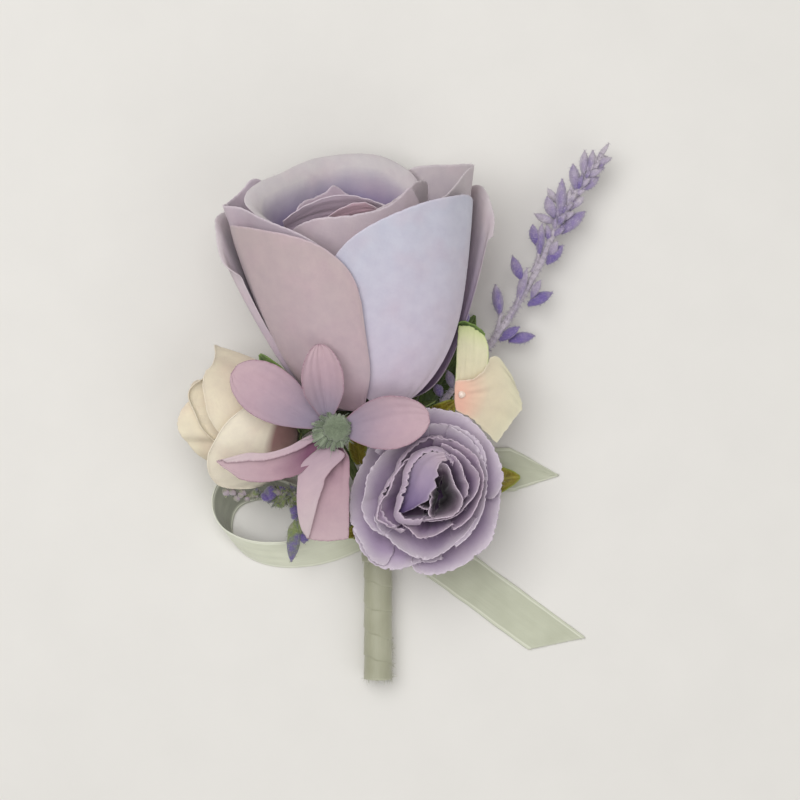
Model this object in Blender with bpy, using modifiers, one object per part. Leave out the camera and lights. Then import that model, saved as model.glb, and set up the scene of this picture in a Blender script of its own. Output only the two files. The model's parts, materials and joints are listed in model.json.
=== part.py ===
"""A wired corsage of fabric flowers, lying on a surface with its stem towards -Y.

Each flower head has a frame of its own: an origin at the base of the bloom, an axis that the bloom opens along
and an "up" direction. A petal is a cloth patch in that frame, given in polar terms round the axis. The stem wires
run from each flower's base into one bundle, which floral tape and a ribbon wrap hold. Metres, +Z up.
"""

import math
from dataclasses import dataclass

import bmesh
import bpy
from mathutils import Matrix, Vector

MM = 0.001

# ---------------------------------------------------------------- driving dimensions

CLOTH = 0.40 * MM  # thickness of a fabric petal
LEAF_THICKNESS = 0.50 * MM
GAP = 0.30 * MM  # clear space between touching pieces
LAYER_STEP = 0.75 * MM  # rise from one layer of petals to the next inside it, at the base of a bloom

WIRE_RADIUS = 0.65 * MM
WIRE_PITCH = 2 * WIRE_RADIUS + GAP  # distance between neighbours in the bundle
TAPE_INNER = WIRE_PITCH + WIRE_RADIUS + 0.15 * MM
TAPE_OUTER = TAPE_INNER + 0.35 * MM
WRAP_INNER = TAPE_OUTER + 0.15 * MM
WRAP_OUTER = WRAP_INNER + 0.35 * MM
KNOT_INNER = WRAP_OUTER + 0.15 * MM
KNOT_OUTER = KNOT_INNER + 0.50 * MM

STEM_X = -3.4 * MM
STEM_END_Y = -60.4 * MM
STEM_TOP_Y = -27.0 * MM
STEM_Z = KNOT_OUTER
KNOT_Y = -31.0 * MM
KNOT_WIDTH = 6.0 * MM

RIBBON_WIDTH = 10.0 * MM
RIBBON_THICKNESS = 0.35 * MM
TAIL_SLANT = 9.0 * MM  # how much longer the long tail is at one edge than at the other

ROSE_RADIUS = 27.5 * MM
ROSE_HEIGHT = 45.0 * MM
RANUNCULUS_RADIUS = 17.5 * MM
CREAM_RADIUS = 16.2 * MM
CREAM_LENGTH = 27.0 * MM
STAR_PETAL = 24.0 * MM
STAR_PETAL_WIDTH = 11.5 * MM


@dataclass(frozen=True)
class Frame:
    """Where a bloom sits: its base, its axis (heading in the plane, pitch above it) and how far it is pressed flat."""

    base: tuple[float, float, float]
    heading: float
    pitch: float
    squash: float = 1.0

    def matrix(self) -> Matrix:
        heading = math.radians(self.heading)
        pitch = math.radians(self.pitch)
        along = Vector(
            (math.cos(heading) * math.cos(pitch), math.sin(heading) * math.cos(pitch), math.sin(pitch))
        )
        side = Vector((math.sin(heading), -math.cos(heading), 0.0))
        up = side.cross(along)
        turn = Matrix((side, up * self.squash, along)).transposed().to_4x4()
        return Matrix.Translation(Vector(self.base)) @ turn


@dataclass(frozen=True)
class Petal:
    """A petal of a cupped bloom. Angles in degrees, round the bloom's axis: 0 is its right, 90 its up side."""

    name: str
    azimuth: float  # middle of the petal
    spread: float  # half of the angle that it covers
    reach: float  # its radius at the rim
    height: float  # its rim above the bloom's base
    lift: float  # where it starts above the base, which keeps the layers apart
    right_drop: float = 0.15  # how much lower the rim is at its corners, as a share of the height
    left_drop: float = 0.15
    flare: float = 0.0  # outward roll of the rim
    waist: float = 0.42  # width of its base, as a share of the spread


CALYX_SIZES = {  # radius of the brim, depth
    "rose_calyx": (5.2 * MM, 4.0 * MM),
    "ranunculus_calyx": (4.6 * MM, 2.6 * MM),
    "cream_calyx": (3.6 * MM, 3.4 * MM),
    "peach_calyx": (2.6 * MM, 3.0 * MM),
}

LAYOUT_CENTRE_X = 1.0 * MM  # middle of the whole corsage in the layout below, which becomes the origin
ROSE = Frame((-2.5 * MM, 1.2 * MM, 11.7 * MM), heading=96.0, pitch=18.0, squash=0.80)
RANUNCULUS = Frame((7.0 * MM, -18.8 * MM, 12.6 * MM), heading=80.0, pitch=80.0)
CREAM = Frame((-21.0 * MM, -2.0 * MM, 11.3 * MM), heading=178.0, pitch=2.0, squash=0.76)
STAR = Frame((-14.0 * MM, -4.0 * MM, 26.5 * MM), heading=90.0, pitch=90.0)
PEACH = Frame((14.0 * MM, -2.4 * MM, 8.8 * MM), heading=50.0, pitch=16.0, squash=0.75)


# ---------------------------------------------------------------- scene and materials


def clear_scene() -> None:
    for item in list(bpy.data.objects):
        bpy.data.objects.remove(item, do_unlink=True)


def finish(name: str, colour: tuple[float, float, float], roughness: float = 0.8) -> bpy.types.Material:
    material = bpy.data.materials.new(name)
    material.use_nodes = True
    shader = material.node_tree.nodes["Principled BSDF"]
    shader.inputs["Base Color"].default_value = (*colour, 1.0)
    shader.inputs["Roughness"].default_value = roughness
    shader.inputs["Metallic"].default_value = 0.0
    return material


def collection_for(name: str) -> bpy.types.Collection:
    collection = bpy.data.collections.new(name)
    bpy.context.scene.collection.children.link(collection)
    return collection


# ---------------------------------------------------------------- shapes


def add_mesh_object(name, mesh, material, collection):
    piece = bpy.data.objects.new(name, mesh)
    piece.data.materials.clear()
    piece.data.materials.append(material)
    collection.objects.link(piece)
    return piece


def sheet(name, point, rows, columns, thickness, material, collection, closed=False):
    """A cloth patch: point(across, along) over a grid, given thickness by a Solidify modifier.

    across runs from -1 to 1 and along from 0 to 1. A closed patch joins its two sides into a ring.
    """
    graph = bmesh.new()
    grid = []
    across_count = columns if closed else columns + 1
    for row in range(rows + 1):
        along = row / rows
        line = [graph.verts.new(point(2 * column / columns - 1, along)) for column in range(across_count)]
        grid.append(line)
    for row in range(rows):
        for column in range(columns):
            after = (column + 1) % across_count
            graph.faces.new((grid[row][column], grid[row][after], grid[row + 1][after], grid[row + 1][column]))
    mesh = bpy.data.meshes.new(name)
    graph.to_mesh(mesh)
    graph.free()
    mesh.shade_smooth()
    piece = add_mesh_object(name, mesh, material, collection)
    solidify = piece.modifiers.new("Thickness", "SOLIDIFY")
    solidify.thickness = thickness
    solidify.offset = 0.0
    solidify.use_even_offset = False
    return piece


def add_turned(name, profile, sides, material, collection, frame=None, closed=False):
    """A solid of revolution from (radius, height) points.

    An open profile runs from the axis at the bottom up to the axis at the top. A closed one is a ring's section.
    """
    graph = bmesh.new()
    points = [graph.verts.new((radius, 0.0, height)) for radius, height in reversed(profile)]
    for first, second in zip(points, points[1:]):
        graph.edges.new((first, second))
    if closed:
        graph.edges.new((points[-1], points[0]))
    mesh = bpy.data.meshes.new(name)
    graph.to_mesh(mesh)
    graph.free()
    piece = add_mesh_object(name, mesh, material, collection)
    screw = piece.modifiers.new("Turn", "SCREW")
    screw.steps = sides
    screw.render_steps = sides
    screw.use_merge_vertices = True
    screw.merge_threshold = 0.00001
    screw.use_smooth_shade = True
    if frame:
        piece.matrix_world = frame.matrix()
    return piece


def tube(name, route, radius, material, collection, resolution=1):
    """A round wire along a smooth curve through the route's points."""
    curve = bpy.data.curves.new(name, "CURVE")
    curve.dimensions = "3D"
    curve.bevel_depth = radius
    curve.bevel_resolution = resolution
    curve.use_fill_caps = True
    spline = curve.splines.new("POLY")
    spline.points.add(len(route) - 1)
    for place, position in zip(spline.points, route):
        place.co = (*position, 1.0)
    piece = bpy.data.objects.new(name, curve)
    curve.materials.append(material)
    collection.objects.link(piece)
    return piece


def smooth_route(points, steps):
    """Points at even steps of a Catmull-Rom curve through the given points."""
    padded = [2 * Vector(points[0]) - Vector(points[1])]
    padded += [Vector(point) for point in points]
    padded.append(2 * Vector(points[-1]) - Vector(points[-2]))
    route = []
    spans = len(points) - 1
    for step in range(steps + 1):
        position = spans * step / steps
        span = min(int(position), spans - 1)
        part = position - span
        before, start, end, after = padded[span : span + 4]
        route.append(
            0.5
            * (
                2 * start
                + (end - before) * part
                + (2 * before - 5 * start + 4 * end - after) * part**2
                + (3 * start - before - 3 * end + after) * part**3
            )
        )
    return route


# ---------------------------------------------------------------- petals


def smoothstep(value: float) -> float:
    value = min(1.0, max(0.0, value))
    return value * value * (3 - 2 * value)


def petal_point(petal: Petal, across: float, along: float) -> Vector:
    """A point of the petal's sheet in its bloom's frame: a bell profile, widest at the rim."""
    start = 0.03
    run = start + (1 - start) * along
    width = petal.waist + (1 - petal.waist) * smoothstep(run / 0.7)
    angle = math.radians(petal.azimuth + petal.spread * width * across)
    drop = petal.left_drop if across > 0 else petal.right_drop
    rim = 1 - drop * abs(across) ** 2.4 * run**2
    roll = smoothstep((run - 0.78) / 0.22)
    radius = petal.reach * math.sqrt(run) + petal.flare * roll
    height = petal.lift + (petal.height - petal.lift) * run**1.8 * rim - 0.25 * abs(petal.flare) * roll
    return Vector((radius * math.cos(angle), radius * math.sin(angle), height))


def add_petal(frame: Frame, petal: Petal, material, collection, rows=6, columns=6):
    matrix = frame.matrix()
    return sheet(
        petal.name,
        lambda across, along: matrix @ petal_point(petal, across, along),
        rows,
        columns,
        CLOTH,
        material,
        collection,
    )


# ---------------------------------------------------------------- the rose


def rose_petals():
    """The rose's petals, innermost first. Each lies clear of the ones inside it."""
    radius, height = ROSE_RADIUS, ROSE_HEIGHT
    step = LAYER_STEP
    return [
        Petal("rose_inner_left", 240, 72, radius - 16.0 * MM, height + 1 * MM, 6.5 * step, 0.08, 0.10),
        Petal("rose_inner_back", 247, 74, radius - 14.2 * MM, height + 3.8 * MM, 5.6 * step, 0.10, 0.10),
        Petal("rose_inner_right", 27, 66, radius - 12.2 * MM, height + 6 * MM, 5.0 * step, 0.15, 0.13),
        Petal("rose_inner_front", 97, 62, radius - 9.5 * MM, height + 4 * MM, 4.2 * step, 0.10, 0.18),
        Petal("rose_back", 236, 86, radius - 6.4 * MM, height + 9 * MM, 3.6 * step, 0.12, 0.22, 1.0 * MM),
        Petal("rose_middle_left", 163, 56, radius - 2.2 * MM, height + 5.4 * MM, 2.8 * step, 0.24, 0.06, 0.3 * MM),
        Petal("rose_back_right", 356, 67, radius - 3.0 * MM, height + 7.6 * MM, 2.8 * step, 0.14, 0.14),
        Petal("rose_front_right", 63, 43, radius - 0.7 * MM, height + 5.4 * MM, 2.0 * step, 0.12, 0.28, 0.0, 0.62),
        Petal("rose_front_left", 131, 36, radius + 1.2 * MM, height + 3 * MM, 1.0 * step, 0.30, 0.10, 0.3 * MM, 0.8),
        Petal("rose_left_outer", 201, 34, radius + 1.6 * MM, height + 2.4 * MM, 0.2 * step, 0.16, 0.28, 2.0 * MM),
        Petal("rose_right_outer", 341, 25, radius - 1.4 * MM, height + 1 * MM, 1.7 * step, 0.20, 0.18, 2.2 * MM),
        Petal("rose_under_left", 244, 34, radius - 1.6 * MM, height - 2 * MM, 2.2 * step, 0.15, 0.15, 1.0 * MM),
        Petal("rose_under_right", 286, 33, radius + 0.8 * MM, height - 2 * MM, 0.4 * step, 0.15, 0.15, 1.5 * MM),
    ]


def add_rose(collection) -> None:
    cloth = finish("lilac_cloth", (0.60, 0.54, 0.66), 0.75)
    for petal in rose_petals():
        add_petal(ROSE, petal, cloth, collection)
    heart = [
        (0.0, 6.2 * MM),
        (2.6 * MM, 8.0 * MM),
        (5.4 * MM, 20.0 * MM),
        (6.2 * MM, 34.0 * MM),
        (4.5 * MM, 45.0 * MM),
        (0.0, 48.0 * MM),
    ]
    add_turned("rose_heart", heart, 12, cloth, collection, ROSE)
    add_calyx("rose_calyx", ROSE, collection)


# ---------------------------------------------------------------- the ranunculus

RANUNCULUS_LAYERS = 5


def add_ranunculus(collection) -> None:
    """Full rings of frilled cloth, one inside another, each steeper than the one outside it."""
    cloth = finish("purple_cloth", (0.42, 0.34, 0.52), 0.75)
    matrix = RANUNCULUS.matrix()
    for layer in range(RANUNCULUS_LAYERS):
        inward = layer / (RANUNCULUS_LAYERS - 1)
        reach = RANUNCULUS_RADIUS - 2.7 * MM * layer
        height = (7.5 + 9.0 * math.sin(inward * math.pi / 2)) * MM
        lobes = 5 + 2 * layer % 3

        def point(across, along, reach=reach, height=height, lobes=lobes, layer=layer):
            run = 0.06 + 0.94 * along
            angle = math.pi * across
            frill = 1 + 0.03 * run**2 * math.sin(lobes * angle + 1.7 * layer)
            radius = reach * math.sqrt(run) * frill
            rise = layer * LAYER_STEP + (height - layer * LAYER_STEP) * run**1.6
            return matrix @ Vector((radius * math.cos(angle), radius * math.sin(angle), rise))

        name = f"ranunculus_layer_{layer + 1}"
        sheet(name, point, 4, 22, CLOTH, cloth, collection, closed=True)
    heart = [
        (0.0, 4.3 * MM),
        (1.5 * MM, 5.6 * MM),
        (3.0 * MM, 9.0 * MM),
        (3.6 * MM, 14.0 * MM),
        (2.2 * MM, 16.2 * MM),
        (0.0, 16.6 * MM),
    ]
    add_turned("ranunculus_heart", heart, 12, cloth, collection, RANUNCULUS)
    add_calyx("ranunculus_calyx", RANUNCULUS, collection)


# ---------------------------------------------------------------- the cream bud


def add_cream_bud(collection) -> None:
    cloth = finish("cream_cloth", (0.72, 0.64, 0.52), 0.75)
    radius, length = CREAM_RADIUS, CREAM_LENGTH
    step = LAYER_STEP
    petals = [
        Petal("cream_tip_lower", 146, 84, radius - 6.6 * MM, length - 1.4 * MM, 3.4 * step, 0.08, 0.22),
        Petal("cream_tip_upper", 62, 62, radius - 4.8 * MM, length - 2.6 * MM, 2.6 * step, 0.22, 0.26),
        Petal("cream_back", 289, 65, radius - 4.0 * MM, length - 5 * MM, 1.4 * step, 0.16, 0.02),
        Petal("cream_upper", 40, 58, radius - 1.2 * MM, length - 6 * MM, 1.0 * step, 0.05, 0.12, 0.5 * MM),
        Petal("cream_front", 148, 54, radius, length - 6 * MM, 0.2 * step, 0.16, 0.14, 0.4 * MM, 0.5),
    ]
    for petal in petals:
        add_petal(CREAM, petal, cloth, collection)
    heart = [
        (0.0, 3.2 * MM),
        (1.8 * MM, 4.6 * MM),
        (4.2 * MM, 12.0 * MM),
        (4.6 * MM, 20.0 * MM),
        (2.8 * MM, 24.8 * MM),
        (0.0, 26.0 * MM),
    ]
    add_turned("cream_heart", heart, 12, cloth, collection, CREAM)
    add_calyx("cream_calyx", CREAM, collection)


# ---------------------------------------------------------------- flat petals and leaves


@dataclass(frozen=True)
class Blade:
    """A leaf or an open petal: a flat patch from its base along its heading. Angles in degrees."""

    name: str
    base: tuple[float, float, float]
    heading: float
    length: float
    width: float
    pitch: float = 0.0  # climb of the base
    curl: float = 0.0  # how far the tip lies above that line
    cup: float = 0.0  # how far the sides lie above the middle
    widest: float = 0.58  # where it is widest, as a share of its length
    waist: float = 0.28  # width at its base, as a share of the width
    point: float = 2.0  # shape of the tip: 2 is round, 1 is a straight-sided point


def blade_point(blade: Blade, across: float, along: float) -> Vector:
    if along < blade.widest:
        share = blade.waist + (1 - blade.waist) * math.sin(math.pi / 2 * along / blade.widest)
    else:
        beyond = (along - blade.widest) / (1 - blade.widest) * 0.985
        share = (1 - beyond**blade.point) ** (1 / blade.point)
    side = share * blade.width / 2 * across
    rise = blade.curl * along**2 + blade.cup * (share * across) ** 2
    return Vector((side, rise, blade.length * along))


def add_blade(blade: Blade, thickness, material, collection, rows=7, columns=4):
    matrix = Frame(blade.base, blade.heading, blade.pitch).matrix()
    return sheet(
        blade.name,
        lambda across, along: matrix @ blade_point(blade, across, along),
        rows,
        columns,
        thickness,
        material,
        collection,
    )


def add_star_flower(collection) -> None:
    """Five petals round a stamen dome. Some rest on their neighbours, so each has its own climb."""
    cloth = finish("pink_lilac_cloth", (0.55, 0.40, 0.47), 0.75)
    centre = Vector(STAR.base)
    start_radius = 3.0 * MM
    petals = [  # name, heading, length share, climb, curl, cup, height of the base
        ("star_petal_right", 10, 0.91, 18, -4 * MM, 2.5 * MM, 0.0),
        ("star_petal_top", 91, 0.86, 34, -2 * MM, 1.0 * MM, 0.4 * MM),
        ("star_petal_upper_left", 147, 1.02, 8, -1 * MM, 0.6 * MM, -0.2 * MM),
        ("star_petal_lower_left", 196, 1.06, 3, -1 * MM, 1.0 * MM, -1.3 * MM),
        ("star_petal_bottom", 266, 1.0, -4, -1.5 * MM, 1.5 * MM, -0.6 * MM),
    ]
    for name, heading, share, pitch, curl, cup, step in petals:
        angle = math.radians(heading)
        start = centre + start_radius * Vector((math.cos(angle), math.sin(angle), 0)) + Vector((0, 0, step))
        length = STAR_PETAL * share - start_radius
        blade = Blade(name, tuple(start), heading, length, STAR_PETAL_WIDTH, pitch, curl, cup, 0.6, 0.24)
        add_blade(blade, CLOTH, cloth, collection)
    stamens = finish("stamen_green", (0.30, 0.34, 0.24), 0.9)
    dome = [(0.0, -2.2 * MM), (1.6 * MM, -2.0 * MM), (1.7 * MM, 1.0 * MM), (3.4 * MM, 2.2 * MM), (3.0 * MM, 3.8 * MM)]
    dome += [(1.6 * MM, 4.9 * MM), (0.0, 5.2 * MM)]
    add_turned("star_stamens", dome, 12, stamens, collection, STAR)


def add_peach_flower(collection) -> None:
    cloth = finish("peach_cloth", (0.78, 0.66, 0.52), 0.75)
    x, y, z = PEACH.base
    petals = [
        Blade("peach_upright", (x + 1.6 * MM, y + 5.4 * MM, z + 9.3 * MM), 80, 19 * MM, 8 * MM, 8, 0, 1.0 * MM, 0.6, 0.6),
        Blade("peach_broad", (x + 1.6 * MM, y + 4.6 * MM, z + 8.5 * MM), 16, 13 * MM, 18.5 * MM, 2, 0, 1 * MM, 0.45, 0.5),
        Blade("peach_back", (x + 6.0 * MM, y + 1 * MM, z - 0.8 * MM), 42, 9 * MM, 10 * MM, 0, 0, 1 * MM, 0.5, 0.5),
    ]
    for blade in petals:
        add_blade(blade, CLOTH, cloth, collection)
    add_calyx("peach_calyx", PEACH, collection)


def add_leaves(collection) -> None:
    olive = finish("olive_leaf", (0.25, 0.22, 0.02), 0.6)
    green = finish("green_leaf", (0.08, 0.12, 0.04), 0.6)
    olive_leaves = [
        Blade("leaf_olive_top", (4.0 * MM, -6.0 * MM, 9.0 * MM), 40, 14 * MM, 6 * MM, 16, 0, 0.5 * MM, 0.5, 0.3, 1.4),
        Blade("leaf_olive_right", (14.0 * MM, -16.4 * MM, 3.4 * MM), 6, 15 * MM, 7 * MM, 2, 0, 0.6 * MM, 0.5, 0.3, 1.4),
        Blade("leaf_olive_middle", (-7.4 * MM, -11.6 * MM, 12 * MM), 98, 9 * MM, 4 * MM, 8, 0, 0.4 * MM, 0.5, 0.4, 1.6),
        Blade("leaf_olive_low", (-2.5 * MM, -26 * MM, 8.2 * MM), 190, 9 * MM, 4 * MM, 0, 0, 0.4 * MM, 0.5, 0.4, 1.5),
    ]
    for blade in olive_leaves:
        add_blade(blade, LEAF_THICKNESS, olive, collection, rows=6, columns=4)
    green_leaves = [
        Blade("leaf_green_left", (-17.6 * MM, -2.8 * MM, 19.5 * MM), 126, 20 * MM, 5.5 * MM, 0, 0, 0.6 * MM, 0.5, 0.3, 1.5),
        Blade("leaf_green_right", (6.0 * MM, -4 * MM, 1.0 * MM), 64, 29 * MM, 8 * MM, 0, 0, 0.6 * MM, 0.5, 0.3, 1.4),
    ]
    for blade in green_leaves:
        add_blade(blade, LEAF_THICKNESS, green, collection, rows=6, columns=4)


# ---------------------------------------------------------------- ribbons


def add_ribbon(name, route, lean, collection, rows, lift=None, width_share=None) -> None:
    """A ribbon about a route in the plane: lean is the way from its lower edge to its upper edge.

    lift gives the height of the ribbon's middle and width_share how much of its width lies open, along its length.
    """
    satin = bpy.data.materials.get("sage_satin") or finish("sage_satin", (0.46, 0.49, 0.38), 0.45)
    line = smooth_route([Vector((x * MM, y * MM, 0)) for x, y in route], rows)

    def point(across, along):
        share = width_share(along) if width_share else 1.0
        height = RIBBON_THICKNESS / 2 + (lift(along) if lift else 0.0)
        return line[round(along * rows)] + Vector((0, 0, height)) + lean(along) * (across * share / 2)

    sheet(name, point, rows, 2, RIBBON_THICKNESS, satin, collection)


def add_ribbons(collection) -> None:
    """The loop stands on its lower edge and leans inwards. Both tails come down from the knot and lie flat."""
    upright = Vector((-4.1, 6.1, 6.8)).normalized() * RIBBON_WIDTH
    loop = [
        (-10.4, -30.4),
        (-15.0, -32.8),
        (-21.3, -34.4),
        (-27.8, -34.4),
        (-33.5, -32.9),
        (-37.2, -29.0),
        (-38.8, -23.9),
        (-38.0, -19.6),
        (-34.2, -17.4),
        (-28.0, -17.2),
        (-21.0, -19.2),
        (-14.6, -22.4),
        (-10.6, -25.4),
    ]
    half_rise = upright.z / 2
    add_ribbon("ribbon_loop", loop, lambda along: upright, collection, 32, lambda along: half_rise)

    knot_height = 2.2 * MM
    long_route = [(2.6, -29.4), (7.0, -31.4), (13.0, -35.2), (37.6, -53.2)]
    run = Vector((long_route[-1][0] - long_route[-2][0], long_route[-1][1] - long_route[-2][1], 0)).normalized()
    square = Vector((0, 0, 1)).cross(run) * RIBBON_WIDTH

    def down_to_floor(along):
        return knot_height * (1 - smoothstep(along / 0.3))

    def open_out(along):
        return 0.35 + 0.65 * smoothstep(along / 0.25)

    def slanted(along):
        return square + run * TAIL_SLANT * smoothstep((along - 0.9) / 0.1)

    add_ribbon("ribbon_tail_long", long_route, slanted, collection, 14, down_to_floor, open_out)

    pointed_route = [(3.0, -24.6), (8.0, -19.8), (18.0, -15.4), (37.6, -14.2)]
    across_way = Vector((-0.22, 0.975, 0)) * RIBBON_WIDTH

    def pointed(along):
        return open_out(along) * (1 - 0.97 * max(0.0, (along - 0.68) / 0.32))

    add_ribbon("ribbon_tail_pointed", pointed_route, lambda along: across_way, collection, 16, down_to_floor, pointed)


# ---------------------------------------------------------------- sprigs

GOLDEN_ANGLE = 137.5  # degrees from one floret to the next round the stem


def floret_mesh(length, width):
    """A flocked bud: a closed drop along +Z, fat near its base."""
    graph = bmesh.new()
    rings = [(0.0, 0.35), (0.35, 1.0), (0.75, 0.55)]
    sides = 5
    circles = []
    for height, share in rings:
        radius = share * width / 2
        circles.append(
            [
                graph.verts.new(
                    (
                        radius * math.cos(math.tau * side / sides),
                        radius * math.sin(math.tau * side / sides),
                        height * length,
                    )
                )
                for side in range(sides)
            ]
        )
    tip = graph.verts.new((0, 0, length))
    graph.faces.new(list(reversed(circles[0])))
    for lower, upper in zip(circles, circles[1:]):
        for side in range(sides):
            after = (side + 1) % sides
            graph.faces.new((lower[side], lower[after], upper[after], upper[side]))
    for side in range(sides):
        graph.faces.new((circles[-1][side], circles[-1][(side + 1) % sides], tip))
    mesh = bpy.data.meshes.new("floret")
    graph.to_mesh(mesh)
    graph.free()
    return mesh


@dataclass(frozen=True)
class Sprig:
    """A stem with florets spiralling up it between two shares of its length, and bare twigs off it."""

    name: str
    place: int  # its place in the bundle
    route: list  # where it runs beyond the bundle, in millimetres
    first: float
    last: float
    florets: int
    long: float  # length of the lowest floret
    short: float  # length of the highest
    twigs: tuple = ()  # routes in millimetres, each ending in a floret


def floret(name, place, heading, length, group) -> None:
    piece = bpy.data.objects.new(name, floret_mesh(length, 0.42 * length))
    piece.rotation_euler = heading.to_track_quat("Z", "Y").to_euler()
    piece.location = place
    piece.hide_render = True
    piece.display_type = "WIRE"
    group.objects.link(piece)


def add_sprig(sprig: Sprig, collection, helpers) -> None:
    flocked = bpy.data.materials.get("flocked_lavender") or finish("flocked_lavender", (0.30, 0.26, 0.42), 0.95)
    route = bundle_route(sprig.place) + [Vector(place) * MM for place in sprig.route]
    line = smooth_route(route, 30)
    stem = tube(sprig.name + "_stem", line, WIRE_RADIUS, flocked, collection)
    piece = as_mesh(stem, sprig.name, flocked, collection)
    group = bpy.data.collections.new(sprig.name + "_florets")
    helpers.children.link(group)
    for index in range(sprig.florets):
        taper = index / (sprig.florets - 1)
        position = (sprig.first + (sprig.last - sprig.first) * taper) * (len(line) - 1)
        near = min(int(position), len(line) - 2)
        place = line[near].lerp(line[near + 1], position - near)
        run = (line[near + 1] - line[near]).normalized()
        out = Vector((0, 0, 1)).cross(run).normalized()
        turn = math.radians(GOLDEN_ANGLE * index)
        heading = (run + 0.75 * (out * math.cos(turn) + run.cross(out) * math.sin(turn))).normalized()
        length = sprig.long + (sprig.short - sprig.long) * taper
        floret(f"{sprig.name}_floret_{index + 1}", place, heading, length, group)
    for index, twig_route in enumerate(sprig.twigs):
        twig_line = smooth_route([Vector(place) * MM for place in twig_route], 6)
        name = f"{sprig.name}_twig_{index + 1}"
        twig = as_mesh(tube(name + "_stem", twig_line, 0.8 * WIRE_RADIUS, flocked, collection), name, flocked, group)
        twig.hide_render = True
        twig.display_type = "WIRE"
        floret(name + "_bud", twig_line[-2], (twig_line[-1] - twig_line[-2]).normalized(), sprig.long * 1.2, group)
    union = piece.modifiers.new("Florets", "BOOLEAN")
    union.operation = "UNION"
    union.operand_type = "COLLECTION"
    union.collection = group
    union.solver = "EXACT"


def as_mesh(curve_object, name, material, collection):
    """The curve's evaluated mesh, caps welded, as an object that can take a Boolean."""
    graph = bpy.context.evaluated_depsgraph_get()
    mesh = bpy.data.meshes.new_from_object(curve_object.evaluated_get(graph))
    work = bmesh.new()
    work.from_mesh(mesh)
    bmesh.ops.remove_doubles(work, verts=work.verts, dist=0.000001)
    work.to_mesh(mesh)
    work.free()
    mesh.name = name
    mesh.materials.clear()
    piece = add_mesh_object(name, mesh, material, collection)
    piece.matrix_world = curve_object.matrix_world
    bpy.data.objects.remove(curve_object, do_unlink=True)
    return piece


def add_sprigs(collection, helpers) -> None:
    lavender = [
        (-1.8, -22.0, 3.4),
        (3.0, -12.0, 4.2),
        (8.0, -3.0, 5.0),
        (12.6, 3.9, 5.8),
        (21.6, 14.7, 6.6),
        (28.0, 24.1, 7.0),
        (33.6, 34.0, 7.4),
        (38.2, 44.4, 7.6),
        (43.2, 52.2, 7.6),
        (47.8, 58.2, 7.4),
    ]
    add_sprig(Sprig("lavender_sprig", 5, lavender, 0.53, 0.985, 30, 7.0 * MM, 4.2 * MM), collection, helpers)
    filler = [(-7.8, -24.6, 4.6), (-12.4, -21.6, 8.4), (-17.0, -19.2, 10.2), (-24.0, -18.4, 10.6), (-31.0, -18.8, 10.2)]
    twigs = (
        ((-21.0, -18.5, 10.4), (-22.0, -22.0, 11.2), (-22.6, -28.0, 10.4)),
        ((-15.5, -19.2, 9.7), (-18.0, -23.0, 10.8), (-19.4, -26.4, 10.6)),
    )
    sprig = Sprig("filler_sprig", 4, filler, 0.68, 0.97, 7, 5.4 * MM, 4.6 * MM, twigs)
    add_sprig(sprig, collection, helpers)


# ---------------------------------------------------------------- stem


def bundle_place(index: int) -> Vector:
    """Where a wire of the bundle runs: 0 is the middle one, 1 to 6 lie round it."""
    if index == 0:
        return Vector((STEM_X, 0, STEM_Z))
    angle = math.radians(60 * index - 30)
    return Vector((STEM_X + WIRE_PITCH * math.cos(angle), 0, STEM_Z + WIRE_PITCH * math.sin(angle)))


def bundle_route(index: int) -> list:
    """The straight stretch of a wire inside the tape and the wrap."""
    place = bundle_place(index)
    ends = (STEM_END_Y, -50 * MM, -40 * MM, STEM_TOP_Y - 6.0 * MM, STEM_TOP_Y + 0.3 * MM)
    return [Vector((place.x, y, place.z)) for y in ends]


def add_wires(collection) -> None:
    """One wire for each bloom, from the end of the stem to just under its calyx."""
    steel = finish("green_wire", (0.10, 0.16, 0.06), 0.6)
    wires = [
        ("wire_rose", 0, ROSE, CALYX_SIZES["rose_calyx"][1], (-3.2, -18.0, 6.0)),
        ("wire_ranunculus", 1, RANUNCULUS, CALYX_SIZES["ranunculus_calyx"][1], (3.0, -21.6, 7.0)),
        ("wire_star", 2, STAR, 2.4 * MM, (-8.0, -16.0, 12.0)),
        ("wire_cream", 3, CREAM, CALYX_SIZES["cream_calyx"][1], (-8.4, -13.6, 10.0)),
        ("wire_peach", 6, PEACH, CALYX_SIZES["peach_calyx"][1], (5.0, -13.6, 6.4)),
    ]
    for name, index, frame, calyx, between in wires:
        matrix = frame.matrix()
        below = [matrix @ Vector((0, 0, -calyx - gap)) for gap in (3.0 * MM, GAP + 0.2 * MM)]
        straight = bundle_route(index)
        target = Vector(between) * MM
        route = straight + [straight[-1].lerp(target, 0.35), target] + below
        tube(name, smooth_route(route, 18), WIRE_RADIUS, steel, collection)


def add_calyx(name, frame: Frame, collection) -> None:
    """The green cup under a bloom: its brim just clears the petals' bases."""
    radius, depth = CALYX_SIZES[name]
    green = bpy.data.materials.get("calyx_green") or finish("calyx_green", (0.12, 0.20, 0.07), 0.65)
    brim = -GAP - CLOTH
    profile = [(0.0, -depth), (1.4 * MM, -depth), (0.8 * radius, -0.35 * depth), (radius, brim), (0.0, brim)]
    add_turned(name, profile, 12, green, collection, frame)


def stem_sleeve(name, inner, outer, low, high, material, collection, sides=16):
    """A round sleeve along Y about the bundle."""
    piece = add_turned(
        name,
        [(outer, low), (outer, high), (inner, high), (inner, low)],
        sides,
        material,
        collection,
        closed=True,
    )
    piece.location = (STEM_X, 0, STEM_Z)
    piece.rotation_euler = (-math.pi / 2, 0, 0)
    return piece


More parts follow.
